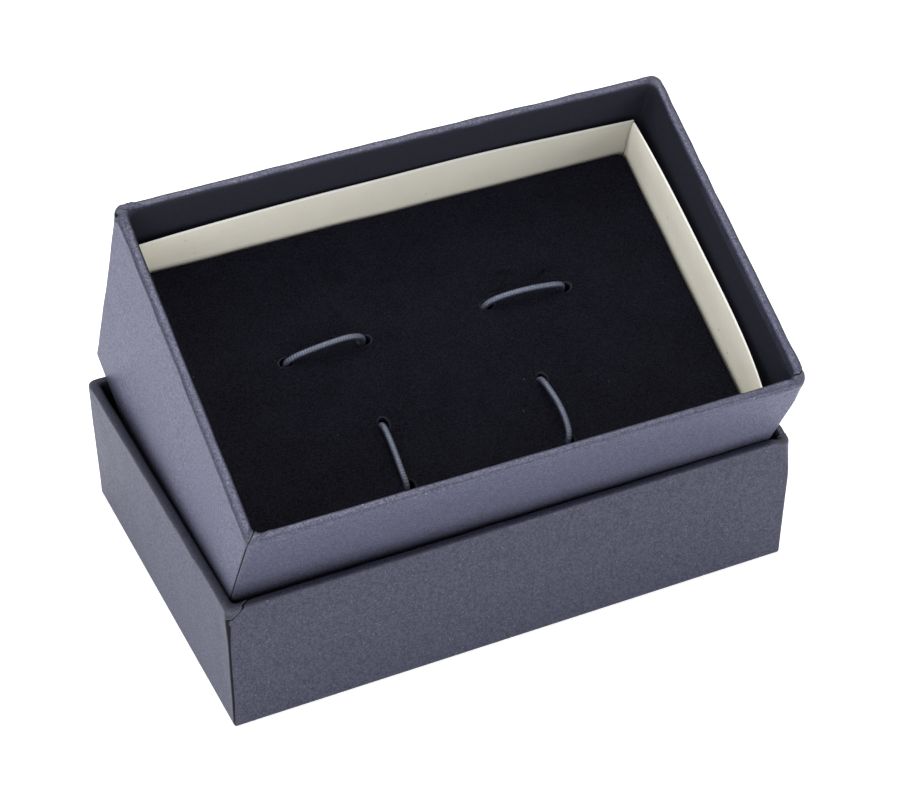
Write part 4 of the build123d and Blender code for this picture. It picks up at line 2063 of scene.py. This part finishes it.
def mix_finishes() -> Workshop:
    """Builds every finish."""
    effects = SharedEffects(sheet_fibres(), stray_flecks())
    # Dark navy of the turned-in paper, partly painted shade; the lid's is almost black, a painted
    # shadow of the tray leaning over its rim.
    navy, cut = (0.0155, 0.0165, 0.026), (0.085, 0.085, 0.1)
    lid_navy_shadow = (0.007, 0.007, 0.012)
    finishes = {
        "lid_paper": PearlPaper(
            "lid_pearl_paper",
            deep=(0.03, 0.033, 0.048),
            pale=(0.07, 0.069, 0.104),
            fleck=(0.26, 0.26, 0.31),
            inner=lid_navy_shadow,
            cut=cut,
            wear_and_highlight=(0.06, 0.062, 0.07),
        ),
        "tray_paper": PearlPaper(
            "tray_pearl_paper",
            deep=(0.037, 0.041, 0.064),
            pale=(0.113, 0.112, 0.178),
            fleck=(0.38, 0.38, 0.44),
            inner=navy,
            cut=cut,
            wear_and_highlight=(0.06, 0.062, 0.062),
        ),
        "greyboard": SheetStock(
            "grey_board",
            deep=(0.15, 0.14, 0.12),
            pale=(0.23, 0.215, 0.19),
            speck=(0.05, 0.05, 0.05),
            cut=(0.26, 0.25, 0.23),
            speck_share=0.12,
            relief=0.00008,
        ),
        "tape": SheetStock(
            "gummed_kraft_tape",
            deep=(0.28, 0.19, 0.1),
            pale=(0.4, 0.28, 0.15),
            speck=(0.16, 0.1, 0.05),
            cut=(0.4, 0.28, 0.15),
            roughness=0.6,
        ),
        "lining": SheetStock(
            "navy_lining_paper",
            deep=(0.011, 0.011, 0.018),
            pale=(0.019, 0.019, 0.029),
            speck=(0.05, 0.05, 0.07),
            cut=(0.05, 0.05, 0.07),
        ),
        "liner": SheetStock(
            "cream_liner_card",
            deep=(0.82, 0.79, 0.69),
            pale=(0.88, 0.85, 0.765),
            speck=(0.5, 0.46, 0.38),
            cut=(0.86, 0.86, 0.84),
            cloud_scale=120.0,
            speck_share=0.012,
            roughness=0.72,
        ),
        "platform": SheetStock(
            "platform_card",
            deep=(0.5, 0.48, 0.42),
            pale=(0.6, 0.58, 0.52),
            speck=(0.3, 0.28, 0.24),
            cut=(0.6, 0.58, 0.52),
        ),
        "foam": FoamStock("pad_foam", cell=(0.004, 0.004, 0.006), skin=(0.03, 0.03, 0.035)),
        "flock": Flock(
            "navy_flock",
            deep=(0.0012, 0.0013, 0.0026),
            pale=(0.0085, 0.009, 0.0155),
            sheen=(0.02, 0.026, 0.08),
            lint=(0.03, 0.033, 0.05),
        ),
        "elastic": RibbedElastic(
            "slate_elastic",
            thread=(0.008, 0.01, 0.02),
            lit=(0.026, 0.031, 0.052),
            # Painted shade in the furrows, and painted highlight along the top.
            furrow=(0.003, 0.004, 0.008),
            wear_and_highlight=(0.1, 0.115, 0.175),
        ),
    }
    return Workshop(**{name: finish.material(effects) for name, finish in finishes.items()})


# ---- Studio ------------------------------------------------------------------------------


@dataclass(frozen=True)
class SoftBox:
    """Square area light that faces a point."""

    name: str
    place: tuple[float, float, float]
    size: float
    power: float
    colour: Colour = (1.0, 1.0, 1.0)
    aim: tuple[float, float, float] = (0.0, 0.0, 0.02)

    def hang(self) -> None:
        """Adds the light."""
        light = bpy.data.lights.new(self.name, "AREA")
        light.shape = "SQUARE"
        light.size = self.size
        light.energy = self.power
        light.color = self.colour
        way = Vector(self.aim) - Vector(self.place)
        turn = way.to_track_quat("-Z", "Y").to_matrix().to_4x4()
        put_in_scene(self.name, light).matrix_world = Matrix.Translation(self.place) @ turn


@dataclass(frozen=True)
class Viewpoint:
    """Camera that looks at a point from a direction and distance, rolled a little."""

    azimuth: float = -24.745
    elevation: float = 38.256
    roll: float = -0.205
    distance: float = 421.7
    target: tuple[float, float, float] = (4.9, 5.07, 18.0)
    lens: float = 109.3

    def set_up(self) -> None:
        """Adds the camera and makes it the scene's."""
        azimuth, elevation, roll = (
            math.radians(angle) for angle in (self.azimuth, self.elevation, self.roll)
        )
        back = Vector(
            (
                math.sin(azimuth) * math.cos(elevation),
                -math.cos(azimuth) * math.cos(elevation),
                math.sin(elevation),
            )
        )
        level = (-back).cross(Vector((0.0, 0.0, 1.0))).normalized()
        upright = level.cross(-back)
        right = level * math.cos(roll) + upright * math.sin(roll)
        up = upright * math.cos(roll) - level * math.sin(roll)
        camera = bpy.data.cameras.new("camera")
        camera.lens = self.lens
        camera.sensor_width = 36.0
        camera.clip_start = 0.01
        place = (Vector(self.target) + back * self.distance) * MM
        turn = Matrix((right, up, back)).transposed().to_4x4()
        holder = put_in_scene("camera", camera)
        holder.matrix_world = Matrix.Translation(place) @ turn
        bpy.context.scene.camera = holder


@dataclass(frozen=True)
class Studio:
    """Pale flat floor, pale surroundings, soft lights and the camera."""

    lights: tuple[SoftBox, ...] = (
        SoftBox("left_light", (-0.55, -0.12, 0.4), 0.5, 2.0),
        SoftBox("top_light", (0.05, 0.05, 0.62), 0.45, 2.8, (1.0, 0.97, 0.84)),
        SoftBox("right_light", (0.35, -0.55, 0.2), 0.4, 1.7),
        SoftBox("front_light", (-0.3, -0.6, 0.22), 0.4, 1.6),
    )
    surroundings: float = 0.5
    floor_size: float = 3.0
    floor_lines: int = 25
    floor_drop: float = 0.00002
    floor_glow: float = 0.48

    def floor(self) -> None:
        """Adds the floor: a plane with a slight unevenness of tone, just below the lid."""
        half = self.floor_size / 2.0
        axis = np.linspace(-half, half, self.floor_lines)
        plan = np.stack(np.meshgrid(axis, axis), axis=-1).reshape(-1, 2)
        points = np.column_stack((plan, np.full(len(plan), -self.floor_drop)))
        mesh = bpy.data.meshes.new("studio_floor")
        faces = grid_faces(self.floor_lines, self.floor_lines, False, False)
        mesh.from_pydata(points.tolist(), [], faces.tolist())
        material, bench, shader = new_material("floor_paper")
        tone = bench.noise(bench.place(), 3.0, 2.0)
        colour = bench.tint(bench.spread(tone, 0.2, 0.8), (0.93, 0.93, 0.93), (0.95, 0.95, 0.95))
        bench.fill(
            shader,
            Base_Color=colour,
            Roughness=0.9,
            Specular_IOR_Level=0.1,
            Emission_Color=colour,
            Emission_Strength=self.floor_glow,
        )
        mesh.materials.append(material)
        put_in_scene("studio_floor", mesh)

    def set_up(self) -> None:
        """Builds the floor, surroundings, lights and camera."""
        self.floor()
        world = bpy.data.worlds.new("surroundings")
        world.use_nodes = True
        background = world.node_tree.nodes["Background"]
        background.inputs["Color"].default_value = (1.0, 1.0, 1.0, 1.0)
        background.inputs["Strength"].default_value = self.surroundings
        bpy.context.scene.world = world
        for light in self.lights:
            light.hang()
        Viewpoint().set_up()
        bpy.context.scene.view_settings.view_transform = "Standard"


# ---- Assembly ----------------------------------------------------------------------------


def dress(node: str, material: Material) -> None:
    """Gives a piece of the frame that keeps its shape its finish."""
    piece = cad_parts[node]
    for slot in piece.material_slots:
        slot.material = material
    log.info("%s: keeps its shape", node)


def plain(bounds: tuple) -> list[list[float]]:
    """Lowest and highest corner as plain lists."""
    return [[float(value) for value in corner] for corner in bounds]


def main() -> None:
    """Builds the cufflink box piece by piece."""
    logging.basicConfig(level=logging.INFO, format="%(message)s")
    finishes = mix_finishes()
    for box, paper in ((Lid(), finishes.lid_paper), (Tray(), finishes.tray_paper)):
        box.covering(paper)
        box.greyboard(finishes.greyboard)
        box.stays(finishes.tape)
    dress("lid_floor_lining", finishes.lining)
    Liner(TRAY_STANCE).build(finishes.liner)
    dress("pad_platform", finishes.platform)
    dress("pad_core", finishes.foam)
    Pad(TRAY_STANCE, LOOP_PLACES, DENTS).build(finishes.flock)
    for place in LOOP_PLACES:
        ElasticLoop(place, TRAY_STANCE).build(finishes.elastic)
    Studio().set_up()


if __name__ == "__main__":
    main()
